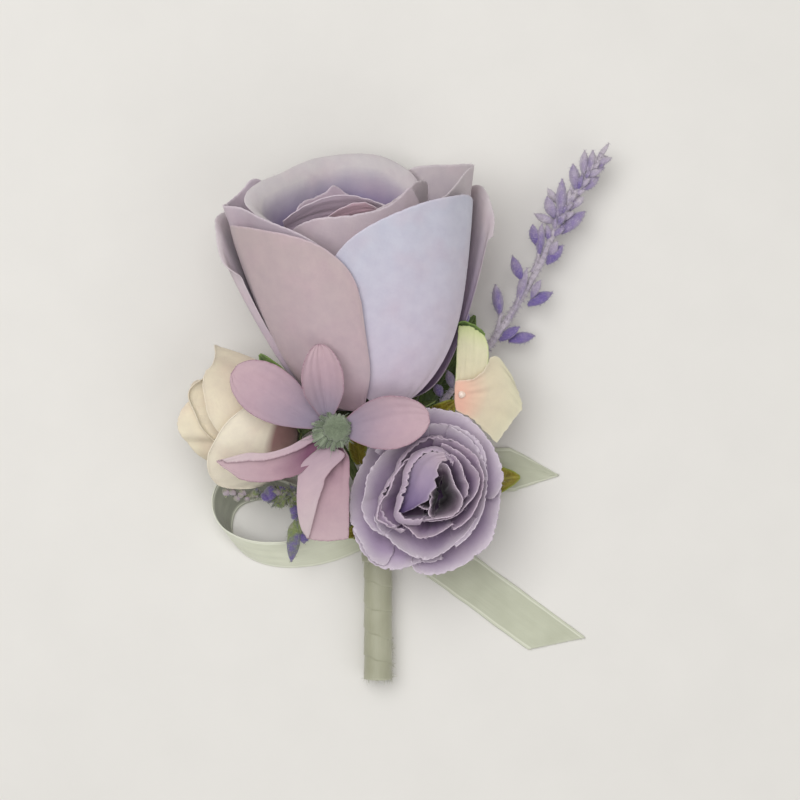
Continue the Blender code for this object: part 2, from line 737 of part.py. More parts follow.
def add_stem(collection) -> None:
    """Floral tape round the wires, ribbon wound over it, and the band of the ribbons' knot."""
    tape = finish("floral_tape", (0.14, 0.20, 0.08), 0.8)
    satin = bpy.data.materials.get("sage_satin") or finish("sage_satin", (0.46, 0.49, 0.38), 0.45)
    end = STEM_END_Y - 0.4 * MM
    stem_sleeve("stem_tape", TAPE_INNER, TAPE_OUTER, end + 0.8 * MM, STEM_TOP_Y - 4.5 * MM, tape, collection)
    stem_sleeve("stem_wrap", WRAP_INNER, WRAP_OUTER, end, STEM_TOP_Y, satin, collection)
    knot_low, knot_high = KNOT_Y - KNOT_WIDTH / 2, KNOT_Y + KNOT_WIDTH / 2
    stem_sleeve("ribbon_knot", KNOT_INNER, KNOT_OUTER, knot_low, knot_high, satin, collection)


def main() -> None:
    clear_scene()
    corsage = collection_for("corsage")
    helpers = collection_for("florets")
    add_rose(corsage)
    add_ranunculus(corsage)
    add_cream_bud(corsage)
    add_star_flower(corsage)
    add_peach_flower(corsage)
    add_leaves(corsage)
    add_ribbons(corsage)
    add_sprigs(corsage, helpers)
    add_wires(corsage)
    add_stem(corsage)
    centre = bpy.data.objects.new("corsage_centre", None)
    corsage.objects.link(centre)
    centre.location.x = -LAYOUT_CENTRE_X
    for piece in list(corsage.objects) + list(helpers.all_objects):
        if piece is not centre:
            piece.parent = centre


main()
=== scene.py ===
"""A wired corsage of cloth flowers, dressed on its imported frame.

Sizes in the classes are in millimetres, in the layout that the corsage was drawn up in: +Y from the
stem's end to the rose, +Z up from the surface that it lies on. A draft turns them into metres in the
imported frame.
"""

from __future__ import annotations

import functools
import json
import logging
import math
import sys

from collections.abc import Callable, Sequence
from dataclasses import dataclass, replace
from enum import Enum

import bpy
import numpy as np
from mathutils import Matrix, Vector

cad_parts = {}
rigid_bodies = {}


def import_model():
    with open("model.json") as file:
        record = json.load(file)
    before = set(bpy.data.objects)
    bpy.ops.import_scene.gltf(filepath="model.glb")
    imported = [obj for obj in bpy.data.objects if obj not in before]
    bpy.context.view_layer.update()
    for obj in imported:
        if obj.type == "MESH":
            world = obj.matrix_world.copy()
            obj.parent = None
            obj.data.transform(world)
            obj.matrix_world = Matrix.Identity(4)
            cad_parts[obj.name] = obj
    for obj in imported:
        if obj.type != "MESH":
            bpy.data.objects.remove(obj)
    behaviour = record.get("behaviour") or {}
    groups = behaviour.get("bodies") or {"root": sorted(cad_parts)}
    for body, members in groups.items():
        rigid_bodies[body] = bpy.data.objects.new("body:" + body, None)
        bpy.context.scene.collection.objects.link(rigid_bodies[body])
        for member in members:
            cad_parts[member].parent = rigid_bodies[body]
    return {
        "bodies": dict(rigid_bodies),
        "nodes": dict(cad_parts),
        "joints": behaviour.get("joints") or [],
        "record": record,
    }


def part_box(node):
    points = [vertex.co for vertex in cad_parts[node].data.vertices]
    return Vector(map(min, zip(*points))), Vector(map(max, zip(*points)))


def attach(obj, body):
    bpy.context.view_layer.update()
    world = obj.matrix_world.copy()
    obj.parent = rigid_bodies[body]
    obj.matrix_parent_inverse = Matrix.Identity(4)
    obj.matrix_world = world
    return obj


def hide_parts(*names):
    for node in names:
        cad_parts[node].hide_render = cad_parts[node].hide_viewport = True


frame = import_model()

MM = 0.001
BODY = "root"
Array = np.ndarray
Colour = tuple[float, float, float]
Point = tuple[float, float, float]
Line = tuple[Point, ...]
Surface = Callable[[Array, Array], Array]
Socket = bpy.types.NodeSocket
log = logging.getLogger("corsage")

CLOTH = 0.24  # thickness of a cloth petal
LEAF = 0.36
RIBBON = 0.30
WIRE = 0.65  # radius of a stem wire
EDGE_REACH = 0.18  # how far from a cut edge its own colour fades out


class Slot(Enum):
    """The record's material slots."""

    LILAC = "lilac_cloth"
    PURPLE = "purple_cloth"
    CREAM = "cream_cloth"
    PINK = "pink_lilac_cloth"
    STAMEN = "stamen_green"
    PEACH = "peach_cloth"
    OLIVE = "olive_leaf"
    GREEN = "green_leaf"
    SATIN = "sage_satin"
    FLOCK = "flocked_lavender"
    WIRE = "green_wire"
    CALYX = "calyx_green"
    TAPE = "floral_tape"


class Mark(Enum):
    """What a draft writes at each point for the finishes to read."""

    RUN = "cloth_run"  # 0 at the foot of a piece, 1 at its rim
    INNER = "cloth_inner"  # 1 on the face towards the bloom, 0 on the one away from it
    EDGE = "cloth_edge"  # 1 at a cut edge, fading inwards
    TONE = "cloth_tone"  # each bud's or fibre's own shade
    THREADS = "cloth_threads"  # place on the cloth laid flat, in millimetres


class Blend(Enum):
    """How one colour goes over another."""

    COVER = "MIX"
    MULTIPLY = "MULTIPLY"


class Held(Enum):
    LAID = "laid"
    GATHERED = "gathered"


# ---- numbers


def tint(code: str) -> Colour:
    """A display colour as the linear one that a shader takes.

    Args:
        code: six hexadecimal digits, two each for red, green and blue.

    Returns:
        The same colour, linear, 0 to 1.
    """
    shares = [channel / 255 for channel in bytes.fromhex(code)]
    return tuple(share / 12.92 if share <= 0.04045 else ((share + 0.055) / 1.055) ** 2.4 for share in shares)


def tints(codes: str) -> tuple[Colour, ...]:
    """The colours of a cloth's foot, middle and rim."""
    return tuple(tint(code) for code in codes.split())


def smoothstep(value: Array | float) -> Array:
    """An even rise from 0 at 0 to 1 at 1."""
    share = np.clip(value, 0.0, 1.0)
    return share * share * (3 - 2 * share)


def unit(vectors: Array) -> Array:
    """The vectors at length 1."""
    return vectors / np.maximum(np.linalg.norm(vectors, axis=-1, keepdims=True), 1e-9)


def through(before: Array, start: Array, end: Array, after: Array, part: Array) -> Array:
    """A Catmull-Rom curve between the middle two of four points, at a share of its span.

    Args:
        before: the point before the span.
        start: its first point.
        end: its last.
        after: the point after it.
        part: share of the span.

    Returns:
        The point there.
    """
    return 0.5 * (
        2 * start
        + (end - before) * part
        + (2 * before - 5 * start + 4 * end - after) * part**2
        + (3 * start - before - 3 * end + after) * part**3
    )


def smooth_route(points: Sequence[Sequence[float]], steps: int) -> Array:
    """Points at even steps of a Catmull-Rom curve.

    Args:
        points: what the curve goes through.
        steps: how many spans to cut it into.

    Returns:
        (steps + 1) points.
    """
    given = np.array([list(point) for point in points], float)
    padded = np.vstack([2 * given[0] - given[1], given, 2 * given[-1] - given[-2]])
    spans = len(given) - 1
    position = spans * np.arange(steps + 1) / steps
    span = np.minimum(position.astype(int), spans - 1)
    part = (position - span)[:, None]
    return through(*(padded[span + offset] for offset in range(4)), part)


class Wobble:
    """Smooth, repeatable unevenness, mostly between -1 and 1."""

    def __init__(self, seed: int, low: float, high: float, waves: int) -> None:
        """Draws the waves.

        Args:
            seed: which unevenness.
            low: the longest wave's angular pitch.
            high: the shortest wave's.
            waves: how many are added up.
        """
        draw = np.random.default_rng(seed)
        self.pitch = draw.uniform(low, high, waves)
        self.phase = draw.uniform(0, math.tau, waves)
        self.slant = draw.uniform(-0.8, 0.8, waves)

    def __call__(self, across: Array, along: Array | float = 0.0) -> Array:
        """Its height at a place."""
        place = np.asarray(across, float)[..., None] + self.slant * np.asarray(along, float)[..., None]
        return np.sin(self.pitch * place + self.phase).sum(-1) / math.sqrt(2 * len(self.pitch))


@dataclass(frozen=True)
class Frame:
    """Where a bloom sits: base, axis (heading in the plane, pitch above it) and how far pressed flat."""

    base: Point
    heading: float
    pitch: float
    squash: float = 1.0

    def axes(self) -> Array:
        """The frame's own three ways, the up side shortened as it is pressed.

        Returns:
            Rows: the way to its right, its up side and the way it opens.
        """
        heading, pitch = math.radians(self.heading), math.radians(self.pitch)
        level = math.cos(pitch)
        along = Vector((math.cos(heading) * level, math.sin(heading) * level, math.sin(pitch)))
        side = Vector((math.sin(heading), -math.cos(heading), 0.0))
        return np.array([side, side.cross(along) * self.squash, along])

    def place(self, local: Array) -> Array:
        """Points of the bloom's own frame, in the layout."""
        return local @ self.axes() + np.array(self.base)

    def turned(self, angle: Array, radius: Array, height: Array) -> Array:
        """Points in the layout, by angle round the axis, radius and height above the base."""
        return self.place(np.stack([radius * np.cos(angle), radius * np.sin(angle), height], axis=-1))


# ---- meshes


def rings_along(paths: Array, radii: Array, sides: int, lobes: int = 0, lobe_depth: float = 0.0) -> Array:
    """Circles of points square to each path.

    Args:
        paths: (solids, places, 3).
        radii: (solids, places) or (places,).
        sides: points in a circle.
        lobes: ribs round each circle.
        lobe_depth: how far they stand out, as a share of the radius.

    Returns:
        (solids, places, sides, 3).
    """
    ways = unit(np.gradient(paths, axis=1))
    mean = np.abs(ways.mean(axis=1))
    level = np.eye(3)[mean.argmin(axis=1)][:, None, :]
    side = unit(np.cross(level, ways))
    rise = np.cross(ways, side)
    turn = math.tau * np.arange(sides) / sides
    ribs = 1 + lobe_depth * np.cos(lobes * turn)
    reach = np.broadcast_to(radii, paths.shape[:2])[..., None, None]
    level_part = side[:, :, None] * (np.cos(turn) * ribs)[:, None]
    return paths[:, :, None] + reach * (level_part + rise[:, :, None] * (np.sin(turn) * ribs)[:, None])


class Draft:
    """A mesh in the making, in millimetres, with the marks that its finish reads."""

    def __init__(self, name: str) -> None:
        """Starts an empty one.

        Args:
            name: of the piece.
        """
        self.name = name
        self.points: list[Array] = []
        self.faces: list[list[int]] = []
        self.threads: list[Array] = []
        self.marks: dict[Mark, list[Array]] = {mark: [] for mark in Mark if mark is not Mark.THREADS}
        self.count = 0

    def add(
        self, points: Array, faces: Array, threads: Array, run: Array, inner: Array, edge: Array, tone: Array
    ) -> None:
        """Takes in points, their marks and the faces over them.

        Args:
            points: (..., 3).
            faces: groups of faces, counted from the first of the points.
            threads: mark, (..., 3).
            run: mark.
            inner: mark.
            edge: mark.
            tone: mark.
        """
        flat = points.reshape(-1, 3)
        shape = points.shape[:-1]
        for mark, value in ((Mark.RUN, run), (Mark.INNER, inner), (Mark.EDGE, edge), (Mark.TONE, tone)):
            self.marks[mark].append(np.broadcast_to(value, shape).reshape(-1).astype(np.float32))
        self.threads.append(np.broadcast_to(threads, points.shape).reshape(-1, 3).astype(np.float32))
        self.points.append(flat)
        for group in faces:
            self.faces.extend((group + self.count).tolist())
        self.count += len(flat)

    def solids(
        self, rings: Array, run: Array | float | None = None, tone: Array | float = 0.0, edge: float = 0.0
    ) -> None:
        """Closed solids, each skinned over a stack of rings and capped at both ends.

        Args:
            rings: (solids, places, sides, 3).
            run: mark along each stack, by place; even from 0 to 1 where it is None.
            tone: mark of each solid.
            edge: mark of all of them.
        """
        many, places, sides = rings.shape[:3]
        index = np.arange(many * places * sides).reshape(many, places, sides)
        near, far = index[:, :-1], index[:, 1:]
        skin = np.stack([near, np.roll(near, -1, 2), np.roll(far, -1, 2), far], axis=-1).reshape(-1, 4)
        caps = [index[:, 0, ::-1], index[:, -1]]
        run = np.linspace(0, 1, places) if run is None else np.broadcast_to(run, (places,))
        span = np.linalg.norm(np.diff(rings.mean(axis=2), axis=1), axis=2)
        length = np.hstack([np.zeros((many, 1)), np.cumsum(span, axis=1)])
        girth = np.linalg.norm(rings - rings.mean(axis=2, keepdims=True), axis=3).mean() * math.tau
        threads = np.zeros(rings.shape)
        threads[..., 0] = girth * np.arange(sides) / sides
        threads[..., 1] = length[:, :, None]
        tones = np.broadcast_to(tone, (many,))[:, None, None]
        self.add(rings, [skin, *caps], threads, run[None, :, None], 0.0, edge, tones)

    def sheet(
        self, grid: Array, thickness: float, run: Array, closed: bool = False, tone: float = 0.0,
        strip: float = 0.0,
    ) -> None:
        """A cloth sheet over a grid of points, edge rounded. Its inner face looks towards across x along.

        Args:
            grid: (rows, columns, 3).
            thickness: of the cloth.
            run: mark of each row.
            closed: joins the last column to the first.
            tone: mark of the sheet.
            strip: width of every row on the cloth laid flat, 0 to measure it.
        """
        rows, columns = grid.shape[:2]
        around = np.roll(grid, -1, 1) - np.roll(grid, 1, 1) if closed else np.gradient(grid, axis=1)
        facing = unit(np.cross(around, np.gradient(grid, axis=0)))
        climb = np.linalg.norm(np.diff(grid, axis=0), axis=2)
        along = np.vstack([np.zeros(columns), np.cumsum(climb, axis=0)])
        reach = np.linalg.norm(np.diff(grid, axis=1), axis=2)
        across = np.hstack([np.zeros((rows, 1)), np.cumsum(reach, axis=1)])
        if strip:
            across *= strip / across[:, -1:]
        across -= across[:, -1:] / 2
        near = along[-1] - along
        if not closed:
            near = np.minimum(near, across[:, -1:] - np.abs(across))
        edge = np.exp(-near / EDGE_REACH)
        threads = np.stack([across, along, np.full_like(across, 7.0 * tone)], axis=-1)

        index = np.arange(rows * columns).reshape(rows, columns)
        ahead = np.roll(index, -1, 1)
        if not closed:
            index, ahead = index[:, :-1], ahead[:, :-1]
        quads = np.stack([index[:-1], ahead[:-1], ahead[1:], index[1:]], axis=-1).reshape(-1, 4)
        front_count = rows * columns

        bottom = [(0, column) for column in range(columns)]
        top = [(rows - 1, column) for column in reversed(range(columns))]
        if closed:
            loops = [bottom, top]
        else:
            right = [(row, columns - 1) for row in range(1, rows - 1)]
            left = [(row, 0) for row in reversed(range(1, rows - 1))]
            loops = [bottom + right + top + left]
        half = facing * thickness / 2
        points = [(grid + half).reshape(-1, 3), (grid - half).reshape(-1, 3)]
        spots = [np.arange(front_count)] * 2  # the place in the grid that each point belongs to
        faces = [quads, quads[:, ::-1] + front_count]
        start = 2 * front_count
        for loop in loops:
            row, column = np.array(loop).T
            inside = np.clip(row, 1, rows - 2), column if closed else np.clip(column, 1, columns - 2)
            points.append(grid[row, column] + unit(grid[row, column] - grid[inside]) * thickness * 0.35)
            front = row * columns + column
            spots.append(front)
            middle = start + np.arange(len(loop))
            front_next, middle_next = np.roll(front, -1), np.roll(middle, -1)
            faces.append(np.stack([front_next, front, middle, middle_next], axis=-1))
            back, back_next = front + front_count, front_next + front_count
            faces.append(np.stack([middle_next, middle, back, back_next], axis=-1))
            start += len(loop)
        spot = np.concatenate(spots)
        inner = np.full(len(spot), 0.5)
        inner[:front_count], inner[front_count : 2 * front_count] = 1.0, 0.0
        runs = np.broadcast_to(run[:, None], (rows, columns)).reshape(-1)[spot]
        laid = threads.reshape(-1, 3)[spot]
        self.add(np.concatenate(points), faces, laid, runs, inner, edge.reshape(-1)[spot], tone)

    def fibres(
        self, roots: Array, ways: Array, lengths: Array, radius: float, seed: int, tone: float = 1.0
    ) -> None:
        """Fine curved threads, thick at the root.

        Args:
            roots: (threads, 3).
            ways: the way each sets off, at length 1.
            lengths: of each.
            radius: at the root.
            seed: for how they bend.
            tone: their mark.
        """
        draw = np.random.default_rng(seed)
        bend = draw.normal(0, 0.45, (len(roots), 3))
        reach = np.linspace(0, 1, 3)[None, :, None]
        curve = ways[:, None] * reach + bend[:, None] * reach**2 / 2
        paths = roots[:, None] + lengths[:, None, None] * curve
        radii = radius * np.array([1.0, 0.85, 0.3])
        self.solids(rings_along(paths, radii, 3), tone=tone, edge=1.0)

    def fuzz(
        self, rings: Array, count: int, length: float, radius: float, seed: int, tone: float = 1.0
    ) -> None:
        """Short fibres that stand out of a stack of rings.

        Args:
            rings: (solids, places, sides, 3).
            count: how many fibres.
            length: of the longest.
            radius: at the root.
            seed: for where they stand.
            tone: their mark.
        """
        draw = np.random.default_rng(seed)
        many, places, sides = rings.shape[:3]
        solid, place, side = (draw.integers(0, top, count) for top in (many, places, sides))
        roots = rings[solid, place, side]
        out = unit(roots - rings.mean(axis=2)[solid, place] + draw.normal(0, 1e-4, (count, 3)))
        ways = unit(out + draw.normal(0, 0.45, (count, 3)))
        self.fibres(roots - 0.05 * out, ways, length * draw.uniform(0.4, 1.0, count), radius, seed + 1, tone)

    def make(self, finish: Finish, slot: Slot, *nodes: str) -> bpy.types.Object:
        """Makes the piece, in place of its CAD nodes.

        Args:
            finish: what dresses it.
            slot: the record's slot of that finish; not used.
            nodes: the CAD nodes that it stands for.

        Returns:
            The piece, riding on the corsage.
        """
        points = np.concatenate(self.points) * MM + np.array(layout_shift())
        mesh = bpy.data.meshes.new(self.name)
        mesh.from_pydata(points, [], self.faces)
        for mark, values in self.marks.items():
            made = mesh.attributes.new(mark.value, "FLOAT", "POINT")
            made.data.foreach_set("value", np.concatenate(values))
        threads = mesh.attributes.new(Mark.THREADS.value, "FLOAT_VECTOR", "POINT")
        threads.data.foreach_set("vector", np.concatenate(self.threads).reshape(-1))
        mesh.shade_smooth()
        mesh.materials.append(material_of(finish))
        piece = bpy.data.objects.new(self.name, mesh)
        bpy.context.scene.collection.objects.link(piece)
        if nodes:
            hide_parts(*nodes)
        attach(piece, BODY)
        log.info("%s: %d faces, for %s", self.name, len(self.faces), ", ".join(nodes) or "no node")
        return piece


@functools.cache
def layout_shift() -> Point:
    """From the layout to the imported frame, in metres: the stem's place in one against the other."""
    low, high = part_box("stem_wrap")
    return (low.x + high.x) / 2 - StemBundle().x * MM, 0.0, 0.0


# ---- finishes


class Recipe:
    """A node material in the making. A value may be a number, a colour or another node's output."""

    def __init__(self, name: str) -> None:
        """Starts from a plain principled shader.

        Args:
            name: of the material.
        """
        self.material = bpy.data.materials.new(name)
        self.material.use_nodes = True
        self.tree = self.material.node_tree
        self.shader = self.tree.nodes["Principled BSDF"]

    def feed(self, socket: Socket, value: object) -> None:
        """Links or sets one input.

        Args:
            socket: the input.
            value: what it takes.
        """
        if isinstance(value, Socket):
            self.tree.links.new(value, socket)
        elif isinstance(value, tuple) and socket.type == "RGBA":
            socket.default_value = (*value, 1.0)
        else:
            socket.default_value = value

    def node(
        self, kind: str, feeds: dict[str | int, object] | None = None, **settings: object
    ) -> bpy.types.Node:
        """Adds a node.

        Args:
            kind: its type, after "ShaderNode".
            feeds: its inputs, by name or place.
            settings: its own properties.

        Returns:
            The node.
        """
        made = self.tree.nodes.new("ShaderNode" + kind)
        for name, value in settings.items():
            setattr(made, name, value)
        for name, value in (feeds or {}).items():
            self.feed(made.inputs[name], value)
        return made

    def mark(self, mark: Mark) -> Socket:
        """Reads a mark of the mesh."""
        made = self.node("Attribute", attribute_name=mark.value)
        return made.outputs["Vector" if mark is Mark.THREADS else "Fac"]

    def noise(
        self, place: object, scale: float, detail: float = 3.0, roughness: float = 0.55
    ) -> Socket:
        """Cloudy noise, 0 to 1, with scale in clouds per millimetre where place is the threads mark."""
        feeds = {"Vector": place, "Scale": scale, "Detail": detail, "Roughness": roughness}
        return self.node("TexNoise", feeds).outputs["Fac"]

    def bands(
        self, place: object, pitch: float, way: str = "X", distortion: float = 0.0
    ) -> Socket:
        """Even bands, one each pitch millimetres of the place."""
        feeds = {"Vector": place, "Scale": math.tau / 20 / pitch, "Distortion": distortion, "Detail": 1.0}
        return self.node("TexWave", feeds, wave_type="BANDS", bands_direction=way).outputs["Fac"]

    def ramp(self, value: object, *stops: tuple[float, Colour]) -> Socket:
        """Colours by value, from (place, colour) stops.

        Args:
            value: what picks the colour, 0 to 1.
            stops: in rising order.

        Returns:
            The colour.
        """
        made = self.node("ValToRGB", {"Fac": value})
        elements = made.color_ramp.elements
        while len(elements) < len(stops):
            elements.new(0.5)
        for element, (place, colour) in zip(elements, stops):
            element.position = place
            element.color = (*colour, 1.0)
        return made.outputs["Color"]

    def mix(
        self, share: object, under: object, over: object, blend: Blend = Blend.COVER
    ) -> Socket:
        """Puts one colour over another.

        Args:
            share: of the upper one, 0 to 1.
            under: the lower one.
            over: the upper one.
            blend: how.

        Returns:
            The colour.
        """
        made = self.node("Mix", data_type="RGBA", blend_type=blend.value)
        for place, value in ((0, share), (6, under), (7, over)):
            self.feed(made.inputs[place], value)
        return made.outputs[2]

    def shade(
        self, share: float, under: object, value: object, *stops: tuple[float, Colour]
    ) -> Socket:
        """A colour multiplied by others, from (place, colour) stops, as far as the share says."""
        return self.mix(share, under, self.ramp(value, *stops), Blend.MULTIPLY)

    def sum(self, operation: str, first: object, second: object = 0.0) -> Socket:
        """A math node's result."""
        return self.node("Math", {0: first, 1: second}, operation=operation).outputs[0]

    def spread(
        self, value: object, low: float, high: float, start: float = 0.0, end: float = 1.0
    ) -> Socket:
        """Maps start to low and end to high."""
        feeds = {"Value": value, "From Min": start, "From Max": end, "To Min": low, "To Max": high}
        return self.node("MapRange", feeds).outputs["Result"]

    def finish(
        self, colour: object, roughness: object, height: object, depth: float, **fixed: float
    ) -> bpy.types.Material:
        """Feeds the shader.

        Args:
            colour: base colour.
            roughness: of the surface.
            height: bump, 0 to 1.
            depth: how deep that bump is, in millimetres.
            fixed: other sockets by name, with _ for each space.

        Returns:
            The finished material.
        """
        self.feed(self.shader.inputs["Base Color"], colour)
        self.feed(self.shader.inputs["Roughness"], roughness)
        bump = self.node("Bump", {"Strength": 1.0, "Distance": depth * MM, "Height": height})
        self.feed(self.shader.inputs["Normal"], bump.outputs["Normal"])
        for name, value in fixed.items():
            self.shader.inputs[name.replace("_", " ")].default_value = value
        return self.material


@dataclass(frozen=True)
class Finish:
    """A material by name."""

    name: str

    def material(self) -> bpy.types.Material:
        """Builds it."""
        raise NotImplementedError


@functools.cache
def material_of(finish: Finish) -> bpy.types.Material:
    """The material of a finish, built once."""
    return finish.material()


@dataclass(frozen=True)
class ClothFinish(Finish):
    """Woven cloth: colours of foot, middle and rim on both faces, dyed and in some cloths also painted shade,
    and of its cut edge.
    """

    outer: tuple[Colour, ...]
    inner: tuple[Colour, ...]
    edge: Colour
    edge_share: float = 0.5
    blush: Colour = tint("c8a6b6")
    blush_share: float = 0.3
    weave: float = 0.30  # pitch of the threads
    roughness: float = 0.78
    stops: tuple[float, ...] = (0.08, 0.5, 0.66, 0.96)  # foot, outer middle, inner middle, rim
    drift: float = 0.14  # how far the colours wander along the petal

    def material(self) -> bpy.types.Material:
        """Builds it.

        Returns:
            The finished material.
        """
        recipe = Recipe(self.name)
        run, threads = recipe.mark(Mark.RUN), recipe.mark(Mark.THREADS)
        clouds = recipe.noise(threads, 0.09, 2.0)
        mottle = recipe.noise(threads, 0.30, 4.0, 0.6)
        crinkle = recipe.noise(threads, 0.9, 5.0, 0.6)
        shifted = recipe.sum("ADD", run, recipe.spread(clouds, -self.drift, self.drift))
        faces = []
        low, *turns, high = self.stops
        for (foot, middle, rim), turn in zip((self.outer, self.inner), turns):
            faces.append(recipe.ramp(shifted, (low, foot), (turn, middle), (high, rim)))
        face = recipe.mix(recipe.mark(Mark.INNER), *faces)
        blushed = recipe.mix(recipe.spread(clouds, 0.0, self.blush_share, 0.45, 0.75), face, self.blush)
        mottled = recipe.shade(1.0, blushed, mottle, (0.3, (0.94, 0.93, 0.95)), (0.7, (1.03, 1.03, 1.02)))
        warp = recipe.bands(threads, self.weave, "X", 0.4)
        weft = recipe.bands(threads, self.weave, "Y", 0.4)
        weave = recipe.sum("MAXIMUM", warp, recipe.sum("MULTIPLY", weft, 0.95))
        woven = recipe.shade(0.09, mottled, weave, (0.0, (0.55, 0.5, 0.55)), (0.8, (1, 1, 1)))
        wear = recipe.noise(threads, 1.6, 2.0)
        worn = recipe.spread(wear, 0.35 * self.edge_share, 1.5 * self.edge_share, 0.35, 0.65)
        cut = recipe.sum("MULTIPLY", recipe.mark(Mark.EDGE), worn)
        colour = recipe.mix(cut, woven, self.edge)
        height = recipe.sum("ADD", recipe.sum("MULTIPLY", weave, 0.30), recipe.sum("MULTIPLY", crinkle, 0.9))
        roughness = recipe.spread(crinkle, self.roughness - 0.07, self.roughness + 0.07, 0.3, 0.7)
        sheen = {"Sheen_Weight": 0.25, "Sheen_Roughness": 0.5, "Specular_IOR_Level": 0.25}
        return recipe.finish(colour, roughness, height, 0.06, **sheen)


@dataclass(frozen=True)
class LeafFinish(Finish):
    """A moulded leaf with a midrib and slanting veins, and a paler rim."""

    body: Colour
    dark: Colour
    vein: Colour
    rim: Colour

    def material(self) -> bpy.types.Material:
        """Builds it.

        Returns:
            The finished material.
        """
        recipe = Recipe(self.name)
        threads = recipe.mark(Mark.THREADS)
        parts = recipe.node("SeparateXYZ", {0: threads})
        away = recipe.sum("ABSOLUTE", parts.outputs["X"])
        slanted = recipe.sum("SUBTRACT", parts.outputs["Y"], recipe.sum("MULTIPLY", away, 0.9))
        slant_place = recipe.node("CombineXYZ", {0: slanted, 1: 0.0, 2: 0.0}).outputs[0]
        ribs = recipe.spread(recipe.bands(slant_place, 1.5, "X", 0.3), 0.0, 1.0, 0.82, 1.0)
        midrib = recipe.spread(away, 1.0, 0.0, 0.05, 0.35)
        veins = recipe.sum("MAXIMUM", midrib, recipe.sum("MULTIPLY", ribs, 0.5))
        clouds = recipe.noise(threads, 0.45, 4.0)
        speckle = recipe.noise(threads, 2.6, 4.0, 0.6)
        base = recipe.ramp(clouds, (0.35, self.dark), (0.62, self.body))
        speckled = recipe.mix(recipe.spread(speckle, 0.0, 0.35, 0.45, 0.75), base, self.dark)
        veined = recipe.mix(recipe.sum("MULTIPLY", veins, 0.5), speckled, self.vein)
        colour = recipe.mix(recipe.sum("MULTIPLY", recipe.mark(Mark.EDGE), 0.75), veined, self.rim)
        bumps = recipe.sum("MULTIPLY", clouds, 0.5)
        height = recipe.sum("SUBTRACT", bumps, recipe.sum("MULTIPLY", veins, 0.6))
        return recipe.finish(colour, recipe.spread(speckle, 0.42, 0.68), height, 0.18, Coat_Weight=0.06)


@dataclass(frozen=True)
class SatinFinish(Finish):
    """Ribbon: fine threads along its length, a paler woven line inside each edge next to a painted shade
    line.
    """

    colour: Colour
    shade: Colour
    selvedge: Colour
    selvedge_at: float = 4.5  # from the middle
    back: float = 1.0  # brightness of the face that is turned out: below 1 it is painted shade

    def material(self) -> bpy.types.Material:
        """Builds it.

        Returns:
            The finished material.
        """
        recipe = Recipe(self.name)
        threads = recipe.mark(Mark.THREADS)
        warp_place = recipe.node("Mapping", {"Vector": threads, "Scale": (7, 0.10, 1)}).outputs["Vector"]
        warp = recipe.noise(warp_place, 1.0, 3.0, 0.6)
        weft = recipe.bands(threads, 0.24, "Y", 0.2)
        base = recipe.ramp(recipe.noise(threads, 0.10, 2.0), (0.3, self.shade), (0.7, self.colour))
        # painted shade: the turned-out face is darkened by back
        turned = recipe.sum("SUBTRACT", 1.0, recipe.mark(Mark.INNER))
        face = recipe.mix(turned, base, (self.back, self.back, self.back), Blend.MULTIPLY)
        lined = recipe.shade(1.0, face, warp, (0.3, (0.95, 0.95, 0.95)), (0.7, (1.03, 1.03, 1.03)))
        ribbed = recipe.shade(0.08, lined, weft, (0.0, (0.5, 0.5, 0.45)), (0.7, (1, 1, 1)))
        out = recipe.sum("ABSOLUTE", recipe.node("SeparateXYZ", {"Vector": threads}).outputs["X"])
        off_line = recipe.sum("ABSOLUTE", recipe.sum("SUBTRACT", out, self.selvedge_at))
        # painted shade: a thin darker line just inside the pale selvedge line, as if in a groove
        off_groove = recipe.sum("ABSOLUTE", recipe.sum("SUBTRACT", out, self.selvedge_at - 0.4))
        groove_shaded = recipe.mix(recipe.spread(off_groove, 0.45, 0.0, 0.05, 0.22), ribbed, self.shade)
        piped = recipe.mix(recipe.spread(off_line, 0.8, 0.0, 0.08, 0.28), groove_shaded, self.selvedge)
        colour = recipe.mix(recipe.sum("MULTIPLY", recipe.mark(Mark.EDGE), 0.6), piped, self.selvedge)
        height = recipe.sum("ADD", recipe.sum("MULTIPLY", warp, 0.6), recipe.sum("MULTIPLY", weft, 0.4))
        sheen = {"Sheen_Weight": 0.3, "Sheen_Roughness": 0.4, "Anisotropic": 0.4}
        return recipe.finish(colour, recipe.spread(warp, 0.38, 0.52), height, 0.04, **sheen)


@dataclass(frozen=True)
class FlockFinish(Finish):
    """Plastic under short flock: deep where the tone is 0, pale and dusty where it is 1."""

    deep: Colour
    mid: Colour
    pale: Colour
    roughness: float = 0.95
    fade: float = 0.1  # how much deeper a tip is than a foot
    dust: Colour = tint("ded6e2")

    def material(self) -> bpy.types.Material:
        """Builds it.

        Returns:
            The finished material.
        """
        recipe = Recipe(self.name)
        place = recipe.node("TexCoord").outputs["Object"]
        grain = recipe.noise(place, 2600.0, 3.0, 0.7)
        patches = recipe.noise(place, 420.0, 3.0)
        tone = recipe.sum("ADD", recipe.mark(Mark.TONE), recipe.spread(patches, -0.28, 0.28, 0.25, 0.75))
        shifted = recipe.sum("ADD", tone, recipe.spread(recipe.mark(Mark.RUN), self.fade, -self.fade))
        base = recipe.ramp(shifted, (0.05, self.deep), (0.5, self.mid), (0.95, self.pale))
        colour = recipe.shade(0.55, base, grain, (0.3, (0.6, 0.6, 0.6)), (0.7, (1.15, 1.15, 1.15)))
        specks = recipe.spread(recipe.noise(place, 4600.0, 2.0, 0.6), 0.0, 0.5, 0.54, 0.68)
        dusted = recipe.mix(specks, colour, self.dust)
        return recipe.finish(dusted, self.roughness, grain, 0.12, Sheen_Weight=0.5, Sheen_Roughness=0.6)


